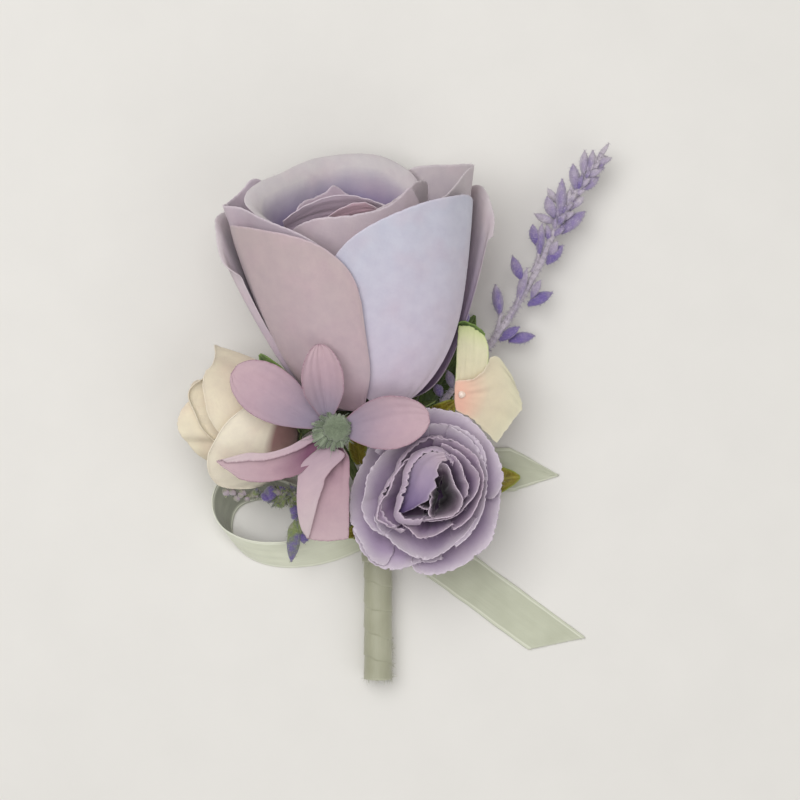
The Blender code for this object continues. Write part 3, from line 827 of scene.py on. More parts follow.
@dataclass(frozen=True)
class PlasticFinish(Finish):
    """Moulded plastic or a wire's skin: a body colour, rubbed paler in patches, with fine lengthwise ribs."""

    body: Colour
    worn: Colour
    roughness: float = 0.5
    rib: float = 0.5
    coat: float = 0.0

    def material(self) -> bpy.types.Material:
        """Builds it.

        Returns:
            The finished material.
        """
        recipe = Recipe(self.name)
        threads = recipe.mark(Mark.THREADS)
        clouds = recipe.noise(threads, 0.5, 4.0)
        grain = recipe.noise(threads, 4.0, 3.0, 0.6)
        ribs = recipe.bands(threads, self.rib, "X", 0.5)
        base = recipe.ramp(clouds, (0.38, self.body), (0.72, self.worn))
        worn = recipe.mix(recipe.sum("MULTIPLY", recipe.mark(Mark.EDGE), 0.6), base, self.worn)
        toned = recipe.mix(recipe.sum("MULTIPLY", recipe.mark(Mark.TONE), 0.7), worn, self.worn)
        height = recipe.sum("ADD", recipe.sum("MULTIPLY", ribs, 0.5), grain)
        roughness = recipe.spread(grain, self.roughness - 0.1, self.roughness + 0.1)
        return recipe.finish(toned, roughness, height, 0.05, Coat_Weight=self.coat)


@dataclass(frozen=True)
class GlueFinish(Finish):
    """A drop of clear florist's glue."""

    def material(self) -> bpy.types.Material:
        """Builds it.

        Returns:
            The finished material.
        """
        recipe = Recipe(self.name)
        cloud = recipe.noise(recipe.mark(Mark.THREADS), 2.0, 2.0)
        colour = recipe.ramp(cloud, (0.3, tint("e8cebe")), (0.7, tint("f6e8dc")))
        roughness = recipe.spread(cloud, 0.08, 0.2)
        return recipe.finish(colour, roughness, cloud, 0.02, Coat_Weight=0.6, Coat_Roughness=0.05)


@dataclass(frozen=True)
class FloorFinish(Finish):
    """The pale, plain surface that the corsage lies on."""

    colour: Colour

    def material(self) -> bpy.types.Material:
        """Builds it.

        Returns:
            The finished material.
        """
        recipe = Recipe(self.name)
        place = recipe.node("TexCoord").outputs["Object"]
        grain = recipe.noise(place, 60.0, 5.0)
        low, high = (tuple(share * value for value in self.colour) for share in (0.985, 1.01))
        colour = recipe.ramp(grain, (0.3, low), (0.7, high))
        return recipe.finish(colour, recipe.spread(grain, 0.85, 0.95), grain, 0.02, Specular_IOR_Level=0.2)


# ---- cloth


@dataclass(frozen=True)
class Cut:
    """How a cloth piece was cut and has worn: its grid, its uneven edge and the threads that stand out."""

    columns: int = 120
    rows: int = 34
    fray: float = 0.10  # unevenness of the cut edge
    threads: int = 26  # loose threads along it
    thread_length: float = 0.8
    crinkle: float = 0.10  # depth of the soft creases all over
    thickness: float = CLOTH
    strip: float = 0.0  # width of a ribbon, 0 for a shaped piece


def spaced(low: float, high: float, count: int, both: bool) -> Array:
    """Even places from low to high, with closer ones at the high end, or at both ends.

    Args:
        low: the first place.
        high: the last.
        count: how many even ones.
        both: closer ones at the low end too.

    Returns:
        The places in order.
    """
    share = 0.03 * (high - low)
    ends = np.array([1.0, 0.55, 0.2, 0.0]) * share
    first = low + ends[::-1] if both else np.array([low])
    inner = np.linspace(first[-1], high - ends[0], count)
    return np.concatenate([first[:-1], inner, high - ends[1:]])


def cloth(
    draft: Draft, surface: Surface, cut: Cut, seed: int, tone: float = 0.0, closed: bool = False
) -> Array:
    """Adds a cut cloth sheet to a draft.

    Args:
        draft: what takes it.
        surface: place of (across -1 to 1, along 0 to 1), in the layout.
        cut: how it was cut.
        seed: for its unevenness.
        tone: its mark.
        closed: joins its two sides.

    Returns:
        Its grid of points.
    """
    if closed:
        across = np.linspace(-1, 1, cut.columns + 1)[:-1]
    else:
        across = spaced(-1.0, 1.0, cut.columns, True)
    along = spaced(0.0, 1.0, cut.rows, False)
    wide, high = np.meshgrid(across, along)
    rough = surface(wide, high)
    length = np.linalg.norm(np.diff(rough[:, len(across) // 2], axis=0), axis=1).sum()
    width = np.linalg.norm(np.diff(rough[-len(along) // 3], axis=0), axis=1).sum()
    rim_noise = Wobble(seed, max(12.0, 0.9 * width), 14.0 + 2.2 * width, 14)(across)
    high = high * (1 + cut.fray / length * rim_noise[None, :] * smoothstep((high - 0.8) / 0.2))
    if not closed:
        side_noise = Wobble(seed + 1, 12.0, 14.0 + 2.2 * length, 14)(along)[:, None]
        wide = wide * (1 + 2 * cut.fray / width * side_noise * smoothstep((np.abs(wide) - 0.85) / 0.15))
    grid = surface(wide, high)
    facing = unit(np.cross(np.gradient(grid, axis=1), np.gradient(grid, axis=0)))
    creases = Wobble(seed + 2, 5.0, 15.0, 8)(wide * 1.3, high * 0.35)
    creases = creases + 0.6 * Wobble(seed + 3, 8.0, 22.0, 8)(wide, high)
    fade = smoothstep(high / 0.25)[..., None]
    grid = grid + facing * (cut.crinkle * fade * creases[..., None])
    draft.sheet(grid, cut.thickness, along, closed, tone, cut.strip)
    if cut.threads:
        draw = np.random.default_rng(seed + 4)
        column = draw.integers(0, grid.shape[1], cut.threads)
        row = np.full(cut.threads, grid.shape[0] - 1)
        if not closed:
            sides = draw.random(cut.threads) < 0.35
            column = np.where(sides, np.where(draw.random(cut.threads) < 0.5, 0, grid.shape[1] - 1), column)
            row = np.where(sides, draw.integers(grid.shape[0] // 3, grid.shape[0], cut.threads), row)
        inside = np.clip(row, 1, grid.shape[0] - 2), np.clip(column, 1, grid.shape[1] - 2)
        out = unit(grid[row, column] - grid[inside])
        ways = unit(out + draw.normal(0, 0.55, out.shape))
        lengths = cut.thread_length * draw.uniform(0.3, 1.0, cut.threads)
        draft.fibres(grid[row, column] - 0.05 * out, ways, lengths, 0.045, seed + 5)
    return grid


@dataclass(frozen=True)
class Petal:
    """A petal of a cupped bloom, cut so that its rim runs through given points.

    A rim point is an angle round the bloom's axis in degrees (0 is its right, 90 its upper side), a radius
    and a height above its base. From there the cloth runs down a bell to the foot.
    """

    name: str
    rim: Line
    lift: float  # where the foot is above the base
    power: float = 1.8  # how late the bell rises
    belly: float = 0.0  # how much wider it is half way up, as a share of the radius
    waist: tuple[float, float] = (0.6, 0.6)  # how far the foot reaches to either side, as a share of the rim
    roll: float = 0.0  # length of cloth that turns outward at the rim, or inward where it is negative
    turn: float = 1.2  # how far it turns, in radians
    ruffle: float = 0.2  # waves of the rim
    seed: int = 0

    def surface(self, frame: Frame) -> Surface:
        """The petal's sheet.

        Args:
            frame: of its bloom.

        Returns:
            Place by (across -1 to 1, along 0 to 1).
        """
        line = smooth_route(self.rim, 240)
        spots = np.linspace(-1, 1, len(line))
        middle = (line[0, 0] + line[-1, 0]) / 2
        waves = Wobble(self.seed + 40, 2.0, 8.0, 5)
        tall_waves = Wobble(self.seed + 41, 2.0, 12.0, 5)
        curl = abs(self.roll) / self.turn
        side = math.copysign(curl, self.roll)
        inward, below = side * (1 - math.cos(self.turn)), curl * math.sin(self.turn)

        def place(across: Array, along: Array) -> Array:
            """A spot of the petal.

            Args:
                across: -1 to 1.
                along: 0 to 1.

            Returns:
                Its place.
            """
            angle, reach, top = (np.interp(across, spots, column) for column in line.T)
            core = 1 - abs(self.roll) / np.hypot(reach, top)
            run = 0.03 + 0.97 * np.minimum(along / core, 1)
            waist = np.where(angle < middle, self.waist[0], self.waist[1])
            angle = np.radians(middle + (angle - middle) * (waist + (1 - waist) * smoothstep(run / 0.7)))
            late = smoothstep((run - 0.55) / 0.45)
            radius = (reach - inward) * (np.sqrt(run) + self.belly * np.sin(math.pi * run))
            radius = radius + self.ruffle * waves(across) * late
            height = self.lift + (top - below - self.lift) * run**self.power
            height = height + 0.5 * self.ruffle * tall_waves(across) * late
            if self.roll:
                turn = np.clip((along - core) / (1 - core), 0, 1) * self.turn
                radius = radius + side * (1 - np.cos(turn))
                height = height + curl * np.sin(turn)
            return frame.turned(angle, radius, height)

        return place


@dataclass(frozen=True)
class Panel:
    """A petal spread over lines that run from foot to tip, side by side from its left edge to its right."""

    name: str
    lines: tuple[Line, ...]
    ruffle: float = 0.15  # waves of its tip
    seed: int = 0

    def surface(self) -> Surface:
        """The petal's sheet.

        Returns:
            Place by (across -1 to 1, along 0 to 1).
        """
        steps = 200
        rows = np.array([smooth_route(line, steps) for line in self.lines])
        rows = np.concatenate([[2 * rows[0] - rows[1]], rows, [2 * rows[-1] - rows[-2]]])
        spans = len(self.lines) - 1
        waves = Wobble(self.seed + 40, 3.0, 9.0, 5)

        def place(across: Array, along: Array) -> Array:
            """A spot of the petal.

            Args:
                across: -1 to 1.
                along: 0 to 1.

            Returns:
                Its place.
            """
            near = np.clip((steps * along).astype(int), 0, steps - 1)
            part = (steps * along - near)[..., None]
            lane = spans * (across + 1) / 2
            first = np.clip(lane.astype(int), 0, spans - 1)
            low, high = ([rows[first + step, near + ahead] for step in range(4)] for ahead in (0, 1))
            beside = (start * (1 - part) + end * part for start, end in zip(low, high))
            spot = through(*beside, (lane - first)[..., None])
            rise = self.ruffle * waves(across) * smoothstep((along - 0.5) / 0.5)
            return spot + rise[..., None] * np.array([0.0, 0.0, 1.0])

        return place


@dataclass(frozen=True)
class Blade:
    """A leaf or an open petal: a flat patch from its base along its heading. Angles in degrees."""

    name: str
    base: Point
    heading: float
    length: float
    width: float
    pitch: float = 0.0  # climb of the base
    curl: float = 0.0  # how far the tip lies above that line
    cup: float = 0.0  # how far the sides lie above the middle
    widest: float = 0.58  # where it is widest, as a share of its length
    waist: float = 0.28  # width at its base, as a share of the width
    point: float = 2.0  # shape of the tip: 2 is round, 1 is a straight-sided point
    fold: float = 0.0  # depth of the crease along its middle
    slant: float = 0.0  # how far that crease runs to one side by the tip
    ruffle: float = 0.15
    seed: int = 0

    def surface(self) -> Surface:
        """The blade's sheet.

        Returns:
            Place by (across -1 to 1, along 0 to 1).
        """
        frame = Frame(self.base, self.heading, self.pitch)
        waves = Wobble(self.seed + 60, 2.0, 7.0, 4)

        def place(across: Array, along: Array) -> Array:
            """A spot of the blade.

            Args:
                across: -1 to 1.
                along: 0 to 1.

            Returns:
                Its place.
            """
            rising = self.waist + (1 - self.waist) * np.sin(math.pi / 2 * np.minimum(along / self.widest, 1))
            beyond = np.clip((along - self.widest) / (1 - self.widest), 0, 1) * 0.985
            falling = (1 - beyond**self.point) ** (1 / self.point)
            share = np.where(along < self.widest, rising, falling)
            edge = share * self.width / 2
            side = edge * across
            rise = self.curl * along**2 + self.cup * (share * across) ** 2
            rise = rise + self.fold * np.abs(across - self.slant * (along - 0.4)) * share
            rise = rise + self.ruffle * waves(across * 0.7, along * 3) * share * smoothstep(along / 0.3)
            return frame.place(np.stack([side, rise, self.length * along], axis=-1))

        return place


def cloth_piece(piece: Panel | Blade, cut: Cut, finish: Finish, slot: Slot, *nodes: str) -> None:
    """Makes a piece of one cloth sheet.

    Args:
        piece: its shape.
        cut: how it was cut.
        finish: what dresses it.
        slot: the record's slot of that finish.
        nodes: the CAD nodes that it stands for.
    """
    draft = Draft(piece.name)
    cloth(draft, piece.surface(), cut, piece.seed)
    draft.make(finish, slot, *nodes)


@dataclass(frozen=True)
class Calyx:
    """The green cup under a bloom, with pointed sepals that hug the outer petals."""

    name: str
    frame: Frame
    brim: float
    depth: float
    hug_reach: float  # radius of the outermost petals at their rim
    hug_height: float  # height of their rim
    share: float  # how far up the petals the sepals reach
    sepals: int = 5
    power: float = 1.8

    def build(self, finish: Finish) -> None:
        """Makes the cup and its sepals as one piece.

        Args:
            finish: what dresses it.
        """
        draft = Draft(self.name)
        profile = [(0.62, -1.0), (0.66, -0.86), (0.60, -0.74), (0.80, -0.5), (1.0, -0.22), (1.02, -0.14)]
        sides = 30
        turn = -math.tau * np.arange(sides) / sides
        radius = np.array([max(share * self.brim, 1.3) for share, _ in profile])
        height = np.array([drop * self.depth for _, drop in profile])
        ribs = 1 + 0.05 * np.cos(self.sepals * turn)
        right, up = (radius[:, None] * way(turn) * ribs for way in (np.cos, np.sin))
        along = np.broadcast_to(height[:, None], right.shape)
        draft.solids(self.frame.place(np.stack([right, up, along], axis=-1))[None])
        cut = Cut(12, 13, 0.05, 0, crinkle=0.03, thickness=0.3)
        for index in range(self.sepals):
            azimuth = 360 * index / self.sepals + 20

            def place(across: Array, along: Array, azimuth: float = azimuth) -> Array:
                """A spot of a sepal, just outside the petals' bell.

                Args:
                    across: -1 to 1.
                    along: 0 to 1.
                    azimuth: of the sepal, in degrees.

                Returns:
                    Its place.
                """
                run = 0.004 + self.share * along
                spread = 32 * (1 - along**1.6) + 1.0
                angle = np.radians(azimuth + spread * across)
                reach = (self.hug_reach + 0.5) * np.sqrt(run) + 0.75
                rise = -0.55 + self.hug_height * run**self.power
                return self.frame.turned(angle, reach, rise)

            cloth(draft, place, cut, 500 + index)
        draft.make(finish, Slot.CALYX, self.name)


# ---- blooms

BEIGE_LILAC = ClothFinish(
    "beige_lilac_cloth", tints("bc98aa c0acb4 beacae"), tints("8c7490 a08ea4 b09eb0"),
    tint("c8b6c0"), 0.45,
)
BLUE_LILAC = ClothFinish(
    "blue_lilac_cloth", tints("d6c4d2 cec5d6 c4c5d4"), tints("9684a2 a89ab2 b4a8be"),
    tint("d8d0dc"), 0.4,
)
PALE_RIM = ClothFinish(
    "pale_rim_cloth", tints("ac9aac b4a6b4 c2b8bc"), tints("7c668a 9a8aa2 c4babe"),
    tint("d6ced2"), 0.5,
)
# inside, the lavender band just under the pale rolled rim is painted shade of that rim
ROLLED_RIM_SHADED = replace(
    PALE_RIM, name="rolled_rim_painted_shade_cloth", inner=tints("806c8e 988caa ccc6c8"),
    stops=(0.08, 0.5, 0.84, 0.93), drift=0.02,
)
ROSY_LILAC = ClothFinish(
    "rosy_lilac_cloth", tints("a88ca0 baa6b2 c6b8be"), tints("8c6880 a08296 bca8b4"),
    tint("d4cad2"), 0.5,
)
DEEP_ROSY = replace(ROSY_LILAC, name="deep_rosy_cloth", inner=tints("d0b0bc d4b2be ceb4be"))
HEART_LILAC = ClothFinish(
    "heart_lilac_cloth", tints("b29cae bcacbc cec4ce"), tints("8e6c84 b092a6 c8b6c4"),
    tint("d8ced6"), 0.55,
)
FURLED_LILAC = replace(
    HEART_LILAC, name="furled_lilac_cloth", inner=tints("c8b6c6 d0becc d4c6d2")
)
SHADED_LILAC = ClothFinish(
    "shaded_lilac_cloth", tints("ac94a8 b6a2b4 c4b6c0"), tints("8a7292 a492aa c8bac6"),
    tint("d8ced4"), 0.55,
)
DUSTY_PURPLE = ClothFinish(
    "dusty_purple_cloth", tints("866894 a08aaa beb0c2"), tints("7e608e b09eb8 cec3cf"),
    tint("e2d8e2"), 0.4, blush=tint("cebec6"), weave=0.34,
)
DEEP_PURPLE = ClothFinish(
    "deep_purple_cloth", tints("705282 927a9e b8a6ba"), tints("54365c 967ca0 beacbe"),
    tint("ded0da"), 0.42, blush=tint("c6aab8"), weave=0.34,
)
# near black at the inner foot: painted shade deep in the ranunculus's hollow
HOLLOW_SHADE_PURPLE = replace(
    DEEP_PURPLE, name="hollow_painted_shade_cloth", inner=tints("221220 684e68 c0aebe")
)
# the dark blue-purple inner foot is painted shade, cast by the petal whose rim lies over it
LENS_SHADED_PURPLE = replace(
    DEEP_PURPLE, name="lens_painted_shade_cloth", inner=tints("604c7a 9686a2 b0a0ac"),
    stops=(0.02, 0.5, 0.42, 0.96),
)
CREAM_BLUSH = ClothFinish(
    "cream_blush_cloth", tints("c8a89e dcccb8 e4dbc3"), tints("be988e d2baa8 e2d7c1"),
    tint("e6dcca"), 0.5, blush=tint("cea89e"), blush_share=0.4,
)
# the dark pink-brown outer foot that ends in a crisp line is a painted shadow; the blush patches are dye
# colour and in part painted shade
IVORY_SHADOWED = ClothFinish(
    "ivory_painted_shadow_cloth", tints("967470 e8e0cc ece4d0"), tints("caaaa2 dacab8 e4d8c4"),
    tint("f0e8d6"), 0.4, blush=tint("d6b8ac"), blush_share=0.4,
    stops=(0.47, 0.56, 0.66, 0.96), drift=0.015,
)
PINK_LILAC = ClothFinish(
    "pink_lilac_cloth", tints("9c8a98 c0a8b3 c8b2ba"), tints("8e8294 b89ea9 c0a6ae"),
    tint("967080"), 0.6, blush=tint("c2a0aa"),
)
# the deep magenta inner foot is painted shade near the flower's middle
PINK_FOLD_SHADED = replace(
    PINK_LILAC, name="pink_fold_painted_shade_cloth", inner=tints("744a62 b2949e c4acb2"),
    outer=tints("b098a4 c4aeb6 cebec0"), stops=(0.1, 0.5, 0.45, 0.96),
)
PEACH_GREEN = ClothFinish(
    "peach_green_cloth", tints("d8ceb2 d4d2b0 cad29c"), tints("d8ceb2 d6d3b2 ccd39e"),
    tint("a0ba60"), 0.45, blush=tint("ded2ba"), blush_share=0.15,
)
PEACH = ClothFinish(
    "peach_cloth", tints("e4baa6 d8ceb4 d4cfb2"), tints("e6b8a4 d8ccb2 d4d0b4"),
    tint("e6e2ce"), 0.5, blush=tint("e2c6b0"), blush_share=0.2, stops=(0.08, 0.5, 0.42, 0.9),
)
STAMEN_GREEN = FlockFinish(
    "stamen_green", tint("48543e"), tint("68745c"), tint("8e9a82"), 0.8, dust=tint("828e78")
)
CALYX_GREEN = PlasticFinish("calyx_green", tint("4a5c30"), tint("708046"), 0.5, 0.6, 0.05)
OLIVE_LEAF = LeafFinish("olive_leaf", tint("968a1a"), tint("70620c"), tint("aca442"), tint("94a442"))
GREEN_LEAF = LeafFinish("green_leaf", tint("546c2e"), tint("364a22"), tint("748a4a"), tint("7e9c4a"))


PetalRow = tuple[str, float, ClothFinish, dict[str, object], Line]  # name, lift, cloth (dyed, some with painted shade), shape and rim


@dataclass(frozen=True)
class Bloom:
    """A cupped bloom: a frame, petals about its axis and a calyx under them."""

    frame: Frame

    def add_petals(self, rows: Sequence[PetalRow], first_seed: int, cut: Cut, slot: Slot) -> None:
        """Makes each petal in place of the node of its name.

        Args:
            rows: the petals.
            first_seed: of the first; each next one has the next seed.
            cut: how they were cut.
            slot: the record's slot of their cloth.
        """
        for seed, (name, lift, finish, shape, rim) in enumerate(rows, start=first_seed):
            draft = Draft(name)
            cloth(draft, Petal(name, rim, lift, seed=seed, **shape).surface(self.frame), cut, seed)
            draft.make(finish, slot, name)

    def roll_heart(
        self, node: str, turns: float, radii: tuple[float, float], heights: tuple[float, float], seed: int,
        finish: Finish, slot: Slot,
    ) -> None:
        """Makes the heart of the bloom: one strip of cloth wound about the axis.

        Args:
            node: the CAD node that it stands for.
            turns: how often it goes round.
            radii: of the inmost and the outmost turn at the rim.
            heights: of the strip's foot, and of its rim at the middle.
            seed: for its unevenness.
            finish: what dresses it.
            slot: the record's slot of that finish.
        """
        waves = Wobble(seed, 4.0, 14.0, 5)

        def place(across: Array, along: Array) -> Array:
            """A spot of the strip.

            Args:
                across: -1 to 1.
                along: 0 to 1.

            Returns:
                Its place.
            """
            share = (across + 1) / 2
            angle = math.tau * turns * share
            neck = 0.35 + 0.65 * np.sin(np.clip(0.15 + 0.8 * along, 0, 1) * math.pi) ** 0.6
            radius = (radii[0] + (radii[1] - radii[0]) * share) * neck
            radius = radius + 0.18 * waves(across) * along
            rim = heights[1] - 1.8 * share + 0.25 * waves(across + 2.0)
            height = heights[0] + (rim - heights[0]) * along
            return self.frame.turned(angle, radius, height)

        draft = Draft(node)
        cloth(draft, place, Cut(160, 16, 0.12, 40, 0.7, 0.04), seed)
        draft.make(finish, slot, node)


@dataclass(frozen=True)
class Rose(Bloom):
    """The big lavender rose: broad outer petals over a furled heart."""

    frame: Frame = Frame((-2.5, 1.2, 11.7), heading=96.0, pitch=18.0, squash=0.80)
    petals: tuple[PetalRow, ...] = (  # innermost first
        ("rose_inner_left", 4.9, HEART_LILAC, {},
            ((165, 12.5, 42), (176, 12, 44.3), (200, 10.9, 44.8), (222, 10.7, 44.5), (243, 11.2, 45.5),
             (265, 11.8, 46), (285, 11.2, 45), (305, 11.6, 43.5), (316, 11.3, 40.5))),
        ("rose_inner_back", 4.2, HEART_LILAC, {},
            ((172, 15.6, 43), (180, 14.6, 45.5), (196, 12.9, 47.8), (215, 12.4, 48), (233, 12.4, 48.4),
             (246, 13, 49.4), (260, 13.3, 46.8), (277, 13.2, 45), (296, 12.6, 44), (310, 12.5, 43),
             (322, 12.3, 40))),
        ("rose_inner_right", 3.8, PALE_RIM, {"ruffle": 0.3},
            ((-40, 15, 42), (-20, 15, 46), (10, 15.2, 50.5), (36, 15.3, 52), (49, 15.2, 50.5),
             (64, 15.3, 49), (80, 15.4, 47.5), (94, 15, 43))),
        ("rose_inner_front", 3.2, ROSY_LILAC, {"ruffle": 0.15},
            ((34, 17.6, 41), (44, 18, 47.5), (53, 18.6, 51.8), (61, 18.3, 50.4), (73, 18.1, 48.7),
             (94, 18, 48), (120, 17.9, 47.4), (140, 17.7, 45.5), (152, 17.4, 43.2), (160, 16.2, 38))),
        ("rose_back", 2.7, ROLLED_RIM_SHADED, {"roll": 6.5, "turn": 1.35, "ruffle": 0.3},
            ((150, 20, 43), (158, 21.6, 46), (166, 23.6, 48.4), (173, 24.7, 50.2), (182, 24, 51.8),
             (195, 22.2, 52.8), (213, 20.6, 53.4), (230, 20.9, 54.2), (246, 21.6, 54.8), (266, 21.4, 54.7),
             (284, 21.4, 53.5), (297, 21.6, 51), (307, 21.2, 48), (315, 20, 43), (322, 18.5, 36))),
        ("rose_middle_left", 2.1, SHADED_LILAC, {"belly": -0.04},
            ((106, 23, 37), (109, 24, 41), (114, 24.6, 43.5), (126, 25.1, 46.4), (143, 25.5, 48.5),
             (160, 26.8, 50.2), (173, 29.6, 50.2), (184, 29, 49.8), (196, 27.2, 50.8), (206, 25.8, 52.8),
             (214, 24.8, 51), (220, 24, 44))),
        ("rose_back_right", 2.1, PALE_RIM, {"ruffle": 0.2, "belly": -0.07},
            ((288, 22.5, 43), (294, 23.8, 48), (301, 24.4, 50), (313, 24.9, 50.6), (327, 24.9, 51),
             (344, 25.1, 52), (360, 25.3, 52.8), (370, 24.9, 52.9), (380, 24.2, 52), (397, 23.7, 49.6),
             (413, 23.6, 48), (425, 23.4, 43))),
        ("rose_front_right", 1.5, BLUE_LILAC, {"ruffle": 0.1, "waist": (0.1, 0.6)},
            ((18, 24.9, 42), (20, 25.7, 46.5), (29, 26.3, 48.6), (41, 26.6, 49.6), (54, 26.7, 50),
             (67, 26.6, 49.4), (78, 26, 48), (89, 25.7, 46), (98, 25.2, 43.4), (106, 24.6, 39.5),
             (112, 23.8, 33))),
        ("rose_front_left", 0.75, BEIGE_LILAC, {"ruffle": 0.1, "waist": (0.5, 1.0)},
            ((94, 24, 30), (96, 24.9, 35), (101, 26.1, 39.5), (110, 27, 43.4), (123, 27.9, 46),
             (139, 28.5, 47), (156, 28.9, 47), (167, 29, 46), (170, 28.4, 42))),
        ("rose_left_outer", 0.15, PALE_RIM, {"belly": -0.06, "waist": (1.0, 0.5), "roll": 2.5},
            ((164, 29.4, 35.6), (166, 31.6, 38), (169, 32.1, 41), (174, 31.8, 45.2), (184, 31.4, 47),
             (200, 30.2, 46.5), (216, 29, 44), (228, 27.5, 39), (235, 26, 31))),
        ("rose_right_outer", 1.3, PALE_RIM, {"belly": -0.06, "waist": (0.5, 1.0), "roll": 3.0},
            ((316, 25, 36), (323, 26.3, 42), (334, 27, 45.6), (345, 27, 47), (354, 27.6, 46.8),
             (362, 28.4, 44.8), (365, 28.8, 41), (366, 28.2, 37))),
        ("rose_under_left", 1.65, SHADED_LILAC, {"belly": -0.07},
            ((208, 23, 30), (214, 25, 38), (226, 26, 42.5), (244, 26.6, 43.5), (262, 26.2, 42.5),
             (274, 25, 38), (280, 23, 30))),
        ("rose_under_right", 0.3, SHADED_LILAC, {},
            ((252, 24.8, 30), (258, 27.2, 38), (270, 28.3, 42.5), (286, 28.7, 43.5), (303, 28.3, 42.5),
             (314, 27.2, 38), (320, 25, 30))),
    )

    def build(self) -> None:
        """Makes the petals, the furled heart and the calyx."""
        cut = Cut(96, 24, 0.08, 30, 0.7, 0.10)
        self.add_petals(self.petals, 1, cut, Slot.LILAC)
        lens = (
            ((-14.4, 41.5, 35.2), (-11.8, 43.2, 36.6), (-9, 44.4, 37.2), (-6.1, 44.8, 37),
             (-4.4, 44.3, 36.2), (-2.9, 43.5, 35.2)),
            ((-14.2, 41.1, 34.4), (-11.9, 41.3, 34), (-9.1, 42, 34), (-6.1, 42.6, 34), (-4.4, 43.1, 34),
             (-2.9, 43.2, 34.4)),
            ((-13.4, 38.6, 31.4), (-11.6, 38.2, 30.4), (-9, 38.4, 30), (-6.3, 38.8, 30), (-4.8, 39.4, 30.4),
             (-3.5, 39.8, 31.2)),
        )
        rim = (
            ((-23.6, 41.3, 31.5), (-20.7, 43.3, 33.4), (-16.2, 45.4, 34.6), (-11.7, 46.5, 35),
             (-7.8, 46.3, 34.8), (-4.2, 45.4, 34), (-1.4, 44.3, 32.8)),
            ((-23.3, 40.2, 29), (-20.5, 41.3, 29.5), (-16.3, 42.8, 30), (-11.8, 43.6, 30.2),
             (-7.9, 43.8, 30.2), (-4.2, 43.6, 30), (-1.4, 43.4, 30)),
            ((-22.4, 39.4, 27.8), (-19.8, 40.2, 28.4), (-16, 41.6, 28.8), (-11.7, 42.4, 29), (-8, 42.6, 29),
             (-4.4, 42.4, 28.8), (-1.8, 42.2, 28.6)),
        )
        fold_cut = Cut(50, 44, 0.12, 20, 0.6, 0.06)
        cloth_piece(Panel("rose_fold_lens", lens, 0.1, 14), fold_cut, DEEP_ROSY, Slot.LILAC)
        cloth_piece(Panel("rose_fold_rim", rim, 0.1, 15), fold_cut, FURLED_LILAC, Slot.LILAC)
        self.roll_heart("rose_heart", 2.6, (2.0, 8.4), (6.5, 45.0), 70, HEART_LILAC, Slot.LILAC)
        Calyx("rose_calyx", self.frame, 5.2, 4.0, 29.3, 45.0, 0.16).build(CALYX_GREEN)


@dataclass(frozen=True)
class Whorl:
    """Petals of the ranunculus that are one layer."""

    node: str
    shift: float  # of its axis to the right in the layout
    lift: float
    finish: Finish
    rims: tuple[Line, ...]
    turned_in: float = 0.0  # length of cloth that turns in at the rim of its first petal


